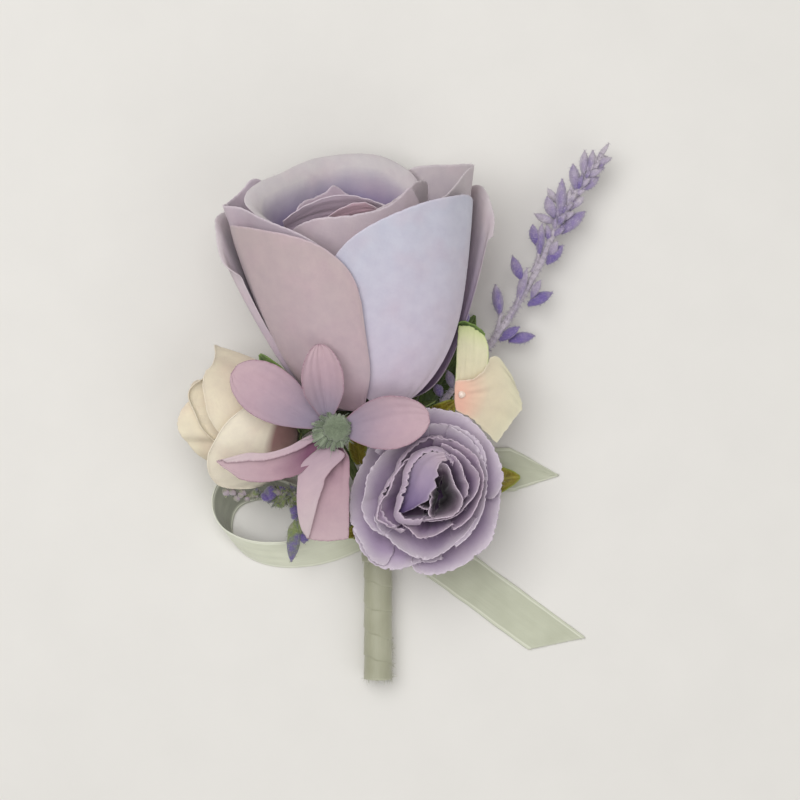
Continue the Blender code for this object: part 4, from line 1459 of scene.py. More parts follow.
@dataclass(frozen=True)
class Ranunculus(Bloom):
    """The purple ranunculus: frayed petals that close round a hollow at the right of its middle."""

    frame: Frame = Frame((7, -18.8, 12.6), heading=80.0, pitch=80.0)
    lens: tuple[Line, ...] = (  # the petal that closes over the hollow
        ((1, -21.9, 26.2), (1.8, -18, 25.6), (2.7, -13.8, 25.8), (4.9, -10.7, 27), (8.1, -8.7, 28.2),
         (11.1, -8.7, 28.8)),
        ((1.4, -22, 26.5), (4, -19, 28), (5.9, -15, 28.9), (7, -12, 29.1), (9.2, -10, 29.1),
         (11.4, -9.5, 29)),
        ((1.8, -22.1, 26.6), (6.8, -19.4, 28.4), (9, -16.3, 29), (9.6, -13.3, 29.2), (10.1, -11.1, 29.2),
         (11.8, -10.2, 29)),
    )
    whorls: tuple[Whorl, ...] = (  # outermost first
        Whorl("ranunculus_layer_1", 0.0, 0.0, DUSTY_PURPLE, (
            ((-44, 18.2, 6.4), (-32, 17.9, 5.9), (-17, 17.3, 5.8), (-2, 16.8, 5.7), (14, 17, 5.6),
             (27, 17.9, 5.5), (43, 17.8, 5.4), (62, 18.3, 5.3), (77, 18.2, 5.2), (87, 17.4, 5.6),
             (92, 15.4, 5.8)),
            ((240, 17, 8.2), (250, 17.8, 8.4), (262, 18.3, 8.3), (274, 18.4, 8.2), (286, 18.8, 8.1),
             (300, 18.9, 7.9), (315, 18.4, 7.8), (330, 17.6, 7.6), (344, 16.9, 7.5), (356, 15.6, 7.2)),
            ((108, 18.2, 6.4), (116, 19.4, 6.6), (124, 19.4, 6.8), (134, 18.5, 7), (145, 17.8, 7.2),
             (158, 16.6, 7.4), (174, 16, 7.6), (191, 15.7, 7.6), (209, 16, 7.8), (228, 16.7, 7.8),
             (245, 17, 8), (254, 16.6, 8)),
            ((65, 14.5, 6.2), (80, 15.6, 6.1), (92, 17, 6), (103, 18.3, 6), (116, 19.6, 6), (133, 18.7, 6),
             (152, 17.1, 6.2)),
        )),
        Whorl("ranunculus_layer_2", 1.6, 0.8, DUSTY_PURPLE, (
            ((22, 11.2, 9.5), (41, 12, 9.5), (58, 12.8, 9.4), (73, 14.2, 9.4), (84, 15.2, 9.3),
             (96, 15, 9.4), (111, 14.9, 9.5), (125, 14.9, 9.5), (136, 14.9, 9.7), (146, 14, 9.8)),
            ((273, 14.8, 11.2), (286, 14.4, 10.9), (303, 13.6, 10.7), (322, 12.7, 10.6), (346, 12, 10.4),
             (371, 11.8, 10.3), (396, 12.4, 10.1), (418, 13.2, 10)),
            ((204, 15.4, 10.3), (226, 14.2, 10.6), (250, 14.5, 10.8), (267, 14.9, 10.9), (284, 15.2, 10.8),
             (304, 14.5, 10.9), (326, 12.8, 10.6)),
            ((127, 14.8, 9.8), (140, 16, 10.1), (157, 16, 10.3), (167, 15.4, 10.3), (183, 14.6, 10.4),
             (204, 13.7, 10.4), (233, 13.4, 10.5), (256, 14.3, 10.5)),
        )),
        Whorl("ranunculus_layer_3", 3.4, 1.6, DEEP_PURPLE, (
            ((122, 12, 12.2), (137, 13.9, 12.5), (151, 14.2, 12.6), (161, 12.9, 12.7), (172, 11.4, 12.7),
             (187, 10.4, 12.8), (203, 10.8, 12.9), (223, 11.1, 13), (240, 10.8, 13), (262, 10.8, 12.8)),
            ((63, 8.6, 12.6), (81, 9.4, 12.9), (95, 10.8, 13), (106, 11.9, 13), (120, 11.6, 13),
             (136, 12.2, 12.8)),
            ((250, 11.4, 12.9), (275, 10.8, 13.1), (305, 10.2, 13), (335, 9.4, 12.8), (365, 8.8, 12.6),
             (395, 9, 12.5), (425, 9.6, 12.5)),
        ), 1.8),
        Whorl("ranunculus_layer_4", 3.4, 2.4, DEEP_PURPLE, (
            ((130, 13.2, 13.3), (143, 15, 13.6), (154, 14.2, 13.7), (165, 12, 13.8), (181, 10.6, 13.9),
             (197, 10, 14), (217, 9.8, 14), (240, 9, 14)),
            ((-101, 9.6, 14.5), (-81, 8.9, 14.6), (-62, 8.6, 14.5), (-44, 8.2, 14.4), (-27, 8.3, 14.4),
             (-8, 7.6, 14.3), (20, 6.6, 14.2), (45, 6.9, 14.2), (67, 7.2, 14.2), (92, 7.5, 14.1),
             (113, 8.4, 14.1), (126, 10.6, 14), (133, 11.6, 13.8)),
        ), 0.8),
        Whorl("ranunculus_layer_5", 3.4, 3.2, DEEP_PURPLE, (
            ((112, 7.8, 15.2), (126, 10.2, 15.6), (138, 10.9, 15.7), (154, 9, 15.8), (174, 7.6, 15.9),
             (195, 7.8, 16), (215, 8, 16.2), (235, 8.1, 16.3), (252, 7.6, 16.4), (268, 6.4, 16.4),
             (284, 5, 16.2)),
            ((240, 8.4, 15.8), (262, 7.6, 16), (280, 7, 16), (299, 6.2, 15.9), (325, 5.6, 15.8),
             (352, 5.4, 15.6), (380, 5.4, 15.3)),
        ), 3.0),
        Whorl("ranunculus_heart", 3.4, 4.0, HOLLOW_SHADE_PURPLE, (
            ((-110, 5.2, 16.2), (-92, 4.6, 16.5), (-58, 3.1, 16.2), (-10, 3, 16), (28, 5.4, 15.8),
             (55, 6.5, 15.5), (84, 6.8, 15.3), (108, 8, 15)),
            ((96, 7, 15.2), (104, 7.2, 15.7), (112, 5.4, 15.9), (128, 3.6, 16), (160, 2.4, 16),
             (200, 2.2, 15.6)),
            ((110, 5.6, 14.2), (140, 6.6, 14.6), (180, 5.4, 14.8), (225, 5.2, 14.9), (270, 4.4, 14.6)),
        )),
    )

    def build(self) -> None:
        """Makes the layers and the calyx."""
        x, y, z = self.frame.base
        for layer, whorl in enumerate(self.whorls):
            draft = Draft(whorl.node)
            moved = replace(self.frame, base=(x + whorl.shift, y, z))
            for index, rim in enumerate(whorl.rims):
                seed = 100 + 10 * layer + index
                roll = 0.0 if index else -whorl.turned_in
                ruffle = 0.55 - 0.07 * layer
                lift = whorl.lift + 0.25 * index
                petal = Petal(whorl.node, rim, lift, 0.85, 0.0, (0.8, 0.8), roll, 1.1, ruffle, seed)
                cloth(draft, petal.surface(moved), Cut(140, 12, 0.55, 60, 0.8, 0.12), seed)
            draft.make(whorl.finish, Slot.PURPLE, whorl.node)
        lens = Panel("ranunculus_lens", self.lens, seed=160)
        cloth_piece(lens, Cut(48, 34, 0.30, 40, 0.7, 0.05), LENS_SHADED_PURPLE, Slot.PURPLE)
        Calyx("ranunculus_calyx", self.frame, 4.6, 2.6, 18.0, 6.4, 0.22, power=1.6).build(CALYX_GREEN)


@dataclass(frozen=True)
class CreamBud(Bloom):
    """The cream rose bud that lies on its side, tip to the left."""

    frame: Frame = Frame((-21, -2, 11.3), heading=178.0, pitch=2.0, squash=0.76)
    petals: tuple[PetalRow, ...] = (  # innermost first
        ("cream_tip_lower", 2.5, CREAM_BLUSH, {"belly": 0.12},
            ((62, 9, 24), (80, 9.4, 26), (99, 9.7, 26.8), (114, 9.9, 26), (128, 9.5, 24.5),
             (143, 9.7, 22.6), (160, 9.9, 20.2), (180, 10.3, 19), (205, 10.4, 19.5), (230, 10.2, 21))),
        ("cream_tip_upper", 1.9, CREAM_BLUSH, {"belly": 0.1, "roll": 2.2, "turn": 1.8},
            ((0, 10.4, 18.5), (20, 10.6, 20), (36, 10.8, 21.8), (50, 11.2, 23.8), (63, 11, 24.6),
             (77, 10.8, 23.6), (92, 11, 22.4), (104, 10.8, 21), (114, 10.6, 19.4), (124, 10.4, 17.5))),
        ("cream_back", 1.0, CREAM_BLUSH, {"belly": 0.08},
            ((215, 12, 14), (240, 12.5, 18), (270, 12.2, 19.6), (300, 11, 21.2), (330, 9.4, 22.6),
             (350, 8.3, 23.7), (368, 7.7, 24.3), (385, 7.3, 24.6), (400, 7.4, 24.3))),
        ("cream_upper", 0.75, CREAM_BLUSH, {"roll": 1.2, "turn": 0.8},
            ((-34, 13.6, 11), (-18, 14.6, 14.6), (-7, 15.5, 17.6), (1, 16.4, 19.5), (7, 16.1, 19.6),
             (16, 15.2, 19.3), (27, 14.8, 19.3), (38, 14.5, 19.8), (46, 14.6, 21), (58, 14.5, 21.6),
             (72, 14.5, 20.9), (86, 14.5, 20), (99, 14.2, 18.2), (112, 13.6, 15.4))),
        ("cream_front", 0.15, IVORY_SHADOWED, {"roll": 1.6, "turn": 1.0, "waist": (0.8, 0.5)},
            ((70, 12.6, 9), (79, 13.9, 12), (91, 14.9, 15.4), (106, 15.6, 18), (119, 16.1, 19.6),
             (131, 16.2, 19.8), (145, 16, 18.8), (158, 16.1, 17.2), (168, 16, 15), (178, 15.8, 11.6),
             (187, 15, 8))),
    )

    def build(self) -> None:
        """Makes the petals, the rolled heart and the calyx."""
        self.add_petals(self.petals, 21, Cut(92, 24, 0.10, 18, 0.6, 0.10), Slot.CREAM)
        self.roll_heart("cream_heart", 2.4, (0.8, 6.6), (3.6, 26.6), 80, CREAM_BLUSH, Slot.CREAM)
        Calyx("cream_calyx", self.frame, 3.6, 3.4, 16.2, 21.0, 0.2).build(CALYX_GREEN)


@dataclass(frozen=True)
class StarFlower:
    """The open pink-lilac flower: five rounded petals about a fringed dome of stamens."""

    centre: Point = (-14, -4, 26.5)
    petal_length: float = 24.0
    start_radius: float = 3.0
    threads: int = 64

    def blades(self) -> list[Blade]:
        """Shapes the three open petals.

        Returns:
            Their blades.
        """
        rows = (  # heading, share of the length, width, climb, curl, cup, rise of the base, crease, slant
            ("star_petal_right", 8, 0.91, 11.5, 18, -4.0, 2.2, 0.0, 0.0, 0.0),
            ("star_petal_top", 95, 0.86, 9.0, 34, -2.0, 1.6, 0.4, 0.9, 0.4),
            ("star_petal_upper_left", 147, 1.02, 11.8, 8, -1.0, 0.8, -0.2, 0.0, 0.0),
        )
        x, y, z = self.centre
        blades = []
        for seed, (name, heading, share, width, *shape, step, fold, slant) in enumerate(rows, start=31):
            angle = math.radians(heading)
            start = self.start_radius
            base = (x + start * math.cos(angle), y + start * math.sin(angle), z + step)
            length = self.petal_length * share - start
            blades.append(
                Blade(name, base, heading, length, width, *shape, 0.6, 0.24, 2.0, fold, slant, seed=seed)
            )
        return blades

    def panels(self) -> list[Panel]:
        """Shapes the two petals that are folded along one side.

        Returns:
            Their panels.
        """
        lower_left = (
            ((-15.4, -8.6, 26), (-19.8, -12.9, 25.8), (-24.1, -14.5, 25.5), (-28.5, -15.1, 25.2),
             (-32.9, -14.7, 24.9), (-35.8, -12.8, 24.6)),
            ((-15.4, -6.4, 25.7), (-20.2, -9.9, 25.3), (-25, -11.9, 25), (-29.4, -12.5, 24.8),
             (-33.8, -12.5, 24.6), (-38.4, -10.8, 24.5)),
            ((-16.3, -4.2, 26.1), (-19.3, -5.7, 26.1), (-23, -7.7, 25.9), (-27.6, -9, 25.6),
             (-32, -9, 25.3), (-37.3, -10.4, 24.8)),
            ((-16.2, -5.5, 26.8), (-19.1, -7.3, 26.7), (-22.8, -9, 26.5), (-27.6, -10.3, 26.1),
             (-31.8, -10.6, 25.6), (-36.4, -11, 25)),
        )
        bottom = (
            ((-11.9, -6.4, 25.6), (-9.7, -9.5, 25.8), (-9.5, -13.8, 25.2), (-9.6, -18.7, 24),
             (-9.6, -23.6, 22.8), (-9.8, -27.8, 21.4)),
            ((-14.1, -6.8, 25.2), (-13, -10.4, 24.8), (-13.7, -15.2, 24.1), (-14.2, -20.3, 23),
             (-14.7, -24.7, 21.8), (-14.7, -28.3, 20.9)),
            ((-15.8, -7.7, 25.8), (-19.8, -11.4, 25.6), (-20.7, -16, 24.7), (-20.8, -20.9, 23.4),
             (-20.1, -25.2, 22.2), (-18.6, -27.8, 21.3)),
            ((-13.6, -7.3, 26.3), (-10.4, -9.2, 27), (-13.9, -13.1, 26.3), (-15.6, -17.3, 25.1),
             (-17, -22.2, 23.7), (-18.4, -27.6, 21.8)),
        )
        folded = (("star_petal_lower_left", lower_left, 34), ("star_petal_bottom", bottom, 35))
        return [Panel(name, lines, 0.1, seed) for name, lines, seed in folded]

    def build(self) -> None:
        """Makes the petals and the stamens."""
        for blade in self.blades():
            cloth_piece(blade, Cut(52, 40, 0.07, 14, 0.5, 0.07), PINK_LILAC, Slot.PINK, blade.name)
        for panel in self.panels():
            cloth_piece(panel, Cut(72, 40, 0.09, 16, 0.5, 0.08), PINK_FOLD_SHADED, Slot.PINK, panel.name)
        self.build_stamens()

    def build_stamens(self) -> None:
        """The flat knob in the middle, the fingers that stand out from under it and a few fine threads."""
        draft = Draft("star_stamens")
        centre = np.array([-12.2, -3.4, 26.5])
        heights = np.array([-2.2, -1.6, 0.4, 1.0, 1.5, 1.9, 2.2, 2.3])
        radii = np.array([1.3, 1.5, 1.5, 2.3, 2.9, 2.9, 2.1, 0.7])
        path = centre + heights[:, None] * np.array([0.0, 0.0, 1.0])
        draft.solids(rings_along(path[None], radii, 48, 11, 0.07), tone=0.55)
        draw = np.random.default_rng(90)
        turn = math.tau * (np.arange(self.threads) / self.threads) + draw.normal(0, 0.06, self.threads)
        left = 0.5 - 0.5 * np.cos(turn - math.radians(30))  # the fringe is longest at the lower left
        length = 2.0 + 2.8 * left**2 + draw.uniform(-0.3, 0.3, self.threads)
        out = np.stack([np.cos(turn), np.sin(turn), np.zeros(self.threads)], axis=-1)
        climb = draw.uniform(0.2, 1.0, self.threads)
        share = np.linspace(0, 1, 7)[None, :, None]
        roots = centre + 0.9 * out + np.array([0.0, 0.0, 0.5])
        rise = climb[:, None, None] * np.sin(share * math.pi * 0.62) * np.array([0.0, 0.0, 1.0])
        sway = draw.normal(0, 0.25, (self.threads, 1, 3)) * share**2
        paths = roots[:, None] + out[:, None] * length[:, None, None] * share + rise + sway
        radii = 0.42 * np.array([0.8, 0.8, 0.85, 0.9, 1.0, 1.0, 0.6])
        draft.solids(rings_along(paths, radii, 8), tone=draw.uniform(0.3, 0.9, self.threads))
        fine = 16
        chosen = draw.integers(0, self.threads, fine)
        ways = unit(out[chosen] + draw.normal(0, 0.25, (fine, 3)) + np.array([0.0, -0.2, 0.15]))
        draft.fibres(paths[chosen, 5], ways, draw.uniform(1.2, 3.4, fine), 0.07, 91)
        draft.make(STAMEN_GREEN, Slot.STAMEN, "star_stamens")


@dataclass(frozen=True)
class PeachFlower:
    """The small cream and peach flower at the right, with a drop of glue on its broad petal."""

    frame: Frame = Frame((14, -2.4, 8.8), heading=50.0, pitch=16.0, squash=0.75)

    def build(self) -> None:
        """Makes the petals, the glue and the calyx."""
        x, y, z = self.frame.base
        upright = (
            ((13.8, 4.5, 17.5), (14, 8.3, 18.5), (14.2, 12.7, 19.4), (14.4, 16, 19.8), (14.6, 19.1, 20)),
            ((17.2, 4.5, 17.2), (17.1, 8.5, 18.2), (17.3, 12.3, 19), (17.5, 16, 19.3), (17.5, 18.9, 19.3)),
            ((20, 5.9, 17.4), (20.7, 8.5, 18), (21.1, 11.6, 18.6), (21.1, 14.7, 18.9), (20.2, 17.1, 18.9)),
        )
        broad = (
            ((14, 7, 18.6), (17.5, 7.4, 18.9), (20.2, 9.4, 18.7), (21.6, 11.9, 17.8), (23.4, 12.3, 16.8),
             (26.6, 8.1, 15.8)),
            ((13.8, 5.4, 18.3), (17.1, 5.6, 18.4), (20.7, 6.8, 18.1), (23.6, 8.1, 17.2), (25.6, 7.7, 16.6),
             (27.9, 4.5, 15.9)),
            ((13.8, 3.9, 18), (17.4, 3.6, 17.9), (20.9, 3.9, 17.6), (24.1, 4.1, 17), (26.5, 3.2, 16.4),
             (28.8, 1.2, 15.8)),
            ((13.8, 2.3, 17.6), (17.2, 1.6, 17.3), (20.3, 0.8, 16.9), (23, 0.1, 16.4), (25.2, -0.8, 15.8),
             (27, -1.5, 15.4)),
            ((14.1, 0.5, 17), (16.3, -0.6, 16.7), (18.3, -1.9, 16.3), (20.1, -3.7, 15.8),
             (21.9, -5.7, 15.3), (23.3, -6.6, 15)),
        )
        sepal = (
            ((14.2, 19.6, 19.4), (15.5, 20.2, 19.6), (17.5, 19.6, 19.6), (19.3, 18.5, 19.3),
             (20.4, 17.4, 19)),
            ((14.7, 18.3, 18.4), (16, 18.5, 18.5), (17.6, 17.8, 18.5), (18.9, 16.7, 18.3),
             (19.8, 15.6, 18)),
        )
        back = Blade("peach_back", (x + 6, y + 1, z - 0.8), 42, 9, 10, 0, 0, 1, 0.5, 0.5, ruffle=0.3, seed=43)
        cut = Cut(76, 42, 0.30, 30, 0.5, 0.08)
        for piece, finish, kind in (
            (Panel("peach_upright", upright, 0.05, 41), PEACH_GREEN, replace(cut, fray=0.1)),
            (Panel("peach_broad", broad, 0.2, 42), PEACH, cut),
            (back, PEACH, cut),
        ):
            cloth_piece(piece, kind, finish, Slot.PEACH, piece.name)
        sepal_cut = Cut(16, 40, 0.1, 0, 0.0, 0.05, LEAF)
        cloth_piece(Panel("peach_sepal", sepal, 0.05, 44), sepal_cut, GREEN_LEAF, Slot.CALYX)
        self.build_glue(np.array([15.3, 4.0, 18.1]))
        Calyx("peach_calyx", self.frame, 2.6, 3.0, 13.0, 13.0, 0.12).build(CALYX_GREEN)

    def build_glue(self, place: Array) -> None:
        """A clear drop where the petals were stuck.

        Args:
            place: where it sits.
        """
        draft = Draft("glue_drop")
        heights = np.array([-0.1, 0.15, 0.4, 0.62, 0.74])
        path = place + heights[:, None] * np.array([0.1, -0.1, 1.0])
        draft.solids(rings_along(path[None], np.array([0.75, 0.85, 0.72, 0.42, 0.12]), 20, 3, 0.06))
        draft.make(GlueFinish("clear_glue"), Slot.PEACH)


@dataclass(frozen=True)
class Leaves:
    """The olive leaf ends between the blooms and the two green leaves behind them."""

    def build(self) -> None:
        """Makes each leaf."""
        olive = [
            Blade("leaf_olive_top", (4, -6, 9), 40, 14, 6, 16, 0, 0.5, 0.5, 0.3, 1.4, 0.5, seed=51),
            Blade("leaf_olive_right", (14, -16.4, 3.4), 6, 15, 7.6, 2, 0, 0.6, 0.5, 0.3, 1.4, 0.5, seed=52),
            Blade("leaf_olive_middle", (-7.4, -11.6, 12), 98, 7.5, 4, 8, 0, 0.4, 0.5, 0.4, 1.6, 0.4, seed=53),
            Blade("leaf_olive_low", (-2.5, -26, 8.2), 190, 9, 4, 0, 0, 0.4, 0.5, 0.4, 1.5, 0.4, seed=54),
        ]
        green = [
            Blade(
                "leaf_green_left", (-17.6, -2.8, 19.5), 127, 19.5, 5.5, 0, 0, 0.6, 0.5, 0.3, 1.5, 0.5, seed=55
            ),
            Blade("leaf_green_right", (6, -4, 1), 64, 29, 8, 0, 0, 0.6, 0.5, 0.3, 1.4, 0.5, seed=56),
        ]
        for leaves, finish, slot in ((olive, OLIVE_LEAF, Slot.OLIVE), (green, GREEN_LEAF, Slot.GREEN)):
            for blade in leaves:
                cloth_piece(blade, Cut(30, 32, 0.10, 0, 0.0, 0.06, LEAF), finish, slot, blade.name)


# ---- ribbon

SATIN = SatinFinish("sage_satin", tint("c4c7b2"), tint("b6b9a3"), tint("d8dac9"))
# the loop's satin: lighter than the tails' as painted light on its lower band, its turned-out face darkened
# to 0.42 as painted shade
LOOP_SATIN_LIT_AND_SHADED = SatinFinish("loop_satin_painted_light_and_shade", tint("e6e9d5"), tint("daddc8"), tint("eef0e0"), back=0.42)
WOUND_SATIN = SatinFinish("wound_satin", tint("b0b09a"), tint("9e9e87"), tint("c4c4af"), 99.0)


@dataclass(frozen=True)
class Ribbon:
    """A satin ribbon about a route in the plane, from the knot."""

    name: str
    route: tuple[tuple[float, float], ...]
    lean: Point  # way from its lower edge to its upper one
    held: Held
    width: float = 10.0
    knot_height: float = 0.0  # of its middle at the knot, where it comes down from it
    gathered: float = 1.0  # how much of its width lies open at the knot
    gather_run: float = 0.25  # share of its length that takes it to open
    slant: float = 0.0  # how much longer it is at one edge
    tip: float = 1.0  # where it starts to narrow to a point, as a share of its length
    seed: int = 0
    finish: Finish = SATIN

    def surface(self) -> Surface:
        """The ribbon's sheet.

        Returns:
            Place by (across -1 to 1, along 0 to 1).
        """
        steps = 400
        line = smooth_route([(x, y, 0.0) for x, y in self.route], steps)
        lean = unit(np.array(self.lean)) * self.width
        end_way = unit(line[-1] - line[-12])
        waves = Wobble(self.seed, 9.0, 26.0, 4)

        def place(across: Array, along: Array) -> Array:
            """A spot of the ribbon.

            Args:
                across: -1 to 1.
                along: 0 to 1.

            Returns:
                Its place.
            """
            spot = np.clip(along, 0, 1) * steps
            near = np.minimum(spot.astype(int), steps - 1)
            middle = line[near] + (line[near + 1] - line[near]) * (spot - near)[..., None]
            off_knot = np.minimum(along, 1 - along) if self.held is Held.GATHERED else along
            share = self.gathered + (1 - self.gathered) * smoothstep(off_knot / self.gather_run)
            if self.tip < 1:
                share = share * (1 - 0.97 * np.maximum(0, (along - self.tip) / (1 - self.tip)))
            rise = 0.1 + RIBBON / 2 + self.knot_height * (1 - smoothstep(along / 0.3)) + abs(lean[2]) / 2
            wave = 0.16 * (1 + waves(along * 2.0, across * 0.3)) * smoothstep(along / 0.2) * (lean[2] == 0)
            lift = np.stack([np.zeros_like(along), np.zeros_like(along), rise + wave], axis=-1)
            end = self.slant * smoothstep((along - 0.9) / 0.1)
            skew = end_way * (end * across / 2)[..., None]
            return middle + lift + lean * (across * share / 2)[..., None] + skew

        return place

    def build(self) -> None:
        """Makes the ribbon."""
        draft = Draft(self.name)
        cut = Cut(20, 130, 0.05, 26, 0.7, 0.05, RIBBON, self.width)
        grid = cloth(draft, self.surface(), cut, self.seed)
        piece = draft.make(self.finish, Slot.SATIN, self.name)
        length = np.linalg.norm(np.diff(grid[:, grid.shape[1] // 2], axis=0), axis=1).sum() * MM


@dataclass(frozen=True)
class Ribbons:
    """The loop that stands on its lower edge and the two tails that lie flat."""

    def build(self) -> None:
        """Makes all three."""
        loop_route = (
            (-7.2, -28.0), (-9.8, -28.8), (-14.0, -30.6), (-20.2, -32.2), (-27.2, -32.6), (-32.9, -31.4),
            (-37.2, -28.6), (-39.0, -24.2), (-38.0, -19.6), (-34.2, -17.4), (-28.0, -17.2), (-21.0, -19.2),
            (-14.6, -22.4), (-9.6, -25.6),
        )
        leaning = (-4.1, 6.1, 6.8)
        hold = {"held": Held.GATHERED, "gathered": 0.6, "gather_run": 0.08}
        Ribbon("ribbon_loop", loop_route, leaning, **hold, seed=61, finish=LOOP_SATIN_LIT_AND_SHADED).build()
        long_route = ((2.6, -29.4), (7.0, -31.4), (13.0, -35.2), (37.6, -53.2))
        square = (18, 24.6, 0)
        laid = (Held.LAID, 10.0, 2.2, 0.35)
        Ribbon("ribbon_tail_long", long_route, square, *laid, slant=9.0, seed=62).build()
        pointed_route = ((3.0, -24.6), (8.0, -19.6), (17.0, -14.6), (27.0, -13.2), (37.7, -14.5))
        flat = (-0.12, 0.99, 0)
        Ribbon("ribbon_tail_pointed", pointed_route, flat, *laid, tip=0.76, seed=63).build()


# ---- stem


@dataclass(frozen=True)
class StemBundle:
    """The stem: wires in floral tape, ribbon wound over it, and the band of the ribbons' knot."""

    x: float = -3.4
    z: float = 3.9
    end: float = -60.4
    top: float = -27.0
    wire_pitch: float = 1.6
    tape_radius: float = 2.42
    wrap_radius: float = 2.78
    knot_radius: float = 3.34
    knot_middle: float = -31.0
    knot_width: float = 6.0
    wrap_step: float = 5.8  # from one turn of the ribbon to the next

    def wire_place(self, index: int) -> tuple[float, float]:
        """Where a wire lies in the bundle.

        Args:
            index: 0 is the middle one, 1 to 6 lie round it.

        Returns:
            Its x and z.
        """
        if index == 0:
            return self.x, self.z
        angle = math.radians(60 * index - 30)
        return self.x + self.wire_pitch * math.cos(angle), self.z + self.wire_pitch * math.sin(angle)

    def straight(self, index: int) -> list[list[float]]:
        """The stretch of a wire inside the tape."""
        x, z = self.wire_place(index)
        return [[x, y, z] for y in (self.end, -50.0, -40.0, self.top - 6.0, self.top + 0.3)]

    def build_wires(self, blooms: Sequence[tuple[str, int, Frame, float, Point]]) -> None:
        """One wire for each bloom.

        Args:
            blooms: node, place in the bundle, the bloom's frame, its calyx's depth and a point between.
        """
        finish = PlasticFinish("green_wire", tint("566834"), tint("7a884e"), 0.55, 0.35)
        for node, index, bloom, depth, between in blooms:
            straight = self.straight(index)
            target = np.array(between)
            bent = [list(np.array(straight[-1]) + 0.35 * (target - np.array(straight[-1]))), list(target)]
            below = [list(bloom.place(np.array([0.0, 0.0, -depth - gap]))) for gap in (3.0, 0.5)]
            path = smooth_route(straight + bent + below, 72)
            bumps = 1 + 0.05 * np.sin(np.arange(len(path)) * 1.9)
            draft = Draft(node)
            draft.solids(rings_along(path[None], WIRE * bumps, 12))
            draft.make(finish, Slot.WIRE, node)

    def sleeve(
        self, radius: Surface, low: float, high: float, rows: int, thickness: float, draft: Draft, seed: int
    ) -> None:
        """A wound sleeve about the stem.

        Args:
            radius: by turn (0 to 1) and place along the stem.
            low: where it starts along the stem.
            high: where it ends.
            rows: how many rows of points.
            thickness: of the cloth.
            draft: what takes it.
            seed: for the threads at its end.
        """
        columns, loose = 72, 26
        turn = np.linspace(0, 1, columns + 1)[:-1]
        along = np.linspace(0, 1, rows)
        turns, places = np.meshgrid(turn, high + (low - high) * along)
        reach = radius(turns, places)
        angle = math.tau * turns
        grid = np.stack([self.x + reach * np.cos(angle), places, self.z + reach * np.sin(angle)], axis=-1)
        draft.sheet(grid, thickness, along, closed=True)
        draw = np.random.default_rng(seed)
        column = draw.integers(0, columns, loose)
        ways = unit(np.array([0.0, -1.0, 0.0]) + draw.normal(0, 0.5, (loose, 3)))
        draft.fibres(grid[-1, column], ways, draw.uniform(0.4, 1.6, loose), 0.05, seed + 1)

    def build_wraps(self) -> None:
        """The tape, the wound ribbon and the knot."""
        crepe = Wobble(300, 20.0, 90.0, 10)

        def tape(turns: Array, places: Array) -> Array:
            """Crinkled tape."""
            return self.tape_radius + 0.06 * crepe(turns * math.tau, places * 0.15)

        draft = Draft("stem_tape")
        self.sleeve(tape, self.end + 0.4, self.top - 4.5, 56, 0.22, draft, 310)
        finish = PlasticFinish("floral_tape", tint("546436"), tint("768452"), 0.8, 0.8)
        draft.make(finish, Slot.TAPE, "stem_tape")

        sag = Wobble(301, 2.0, 7.0, 5)
        ruck = Wobble(302, 14.0, 60.0, 10)

        def wrap(turns: Array, places: Array) -> Array:
            """Ribbon wound in a spiral: each turn lies over the edge of the last.

            Args:
                turns: share of a turn.
                places: along the stem.

            Returns:
                The radius there.
            """
            wound = places / self.wrap_step - turns + 0.10 * sag(turns * 3.0, places * 0.3)
            share = wound - np.floor(wound)
            step = 0.26 * smoothstep(share / 0.08) * (1 - 0.75 * share)
            return self.wrap_radius + 0.12 + step + 0.03 * ruck(turns * 4.0, places * 0.4)

        draft = Draft("stem_wrap")
        self.sleeve(wrap, self.end - 0.4, self.top, 230, RIBBON, draft, 312)
        loose = 46  # threads at the cut end of the ribbon
        draw = np.random.default_rng(316)
        places = self.end + 9.0 * draw.random(loose) ** 1.5
        out = np.full(loose, self.x + self.wrap_radius + 0.3)
        roots = np.stack([out, places, self.z + draw.normal(0, 0.8, loose)], axis=-1)
        ways = unit(np.array([1.0, -0.6, 0.2]) + draw.normal(0, 0.6, (loose, 3)))
        draft.fibres(roots, ways, draw.uniform(0.4, 1.3, loose), 0.05, 317)
        draft.make(WOUND_SATIN, Slot.SATIN, "stem_wrap")

        half = self.knot_width / 2

        def knot(turns: Array, places: Array) -> Array:
            """Three pleats that cross at the top.

            Args:
                turns: share of a turn.
                places: along the stem.

            Returns:
                The radius there.
            """
            share = (places - self.knot_middle) / half
            crown = 0.5 * np.sqrt(np.clip(1 - 0.8 * share**2, 0, 1))
            pleats = 0.12 * np.sin(7.0 * share + 2.2 * np.sin(math.tau * turns))
            return self.knot_radius + crown * 0.6 + pleats * (1 - share**2) + 0.04 * ruck(turns * 4.0, places)

        draft = Draft("ribbon_knot")
        self.sleeve(knot, self.knot_middle - half, self.knot_middle + half, 52, RIBBON, draft, 314)
        draft.make(WOUND_SATIN, Slot.SATIN, "ribbon_knot")


# ---- sprigs

FLOCK = FlockFinish("flocked_lavender", tint("6c58a0"), tint("9c8eae"), tint("c0b7c2"), fade=-0.2)
FILLER_FLOCK = FlockFinish(
    "flocked_filler", tint("624e96"), tint("748442"), tint("b4a4b2"), fade=0.24, dust=tint("b0b28c")
)


@dataclass(frozen=True)
class Bud:
    """A flocked bud or floret."""

    foot: Point
    tip: Point
    width: float
    tone: float


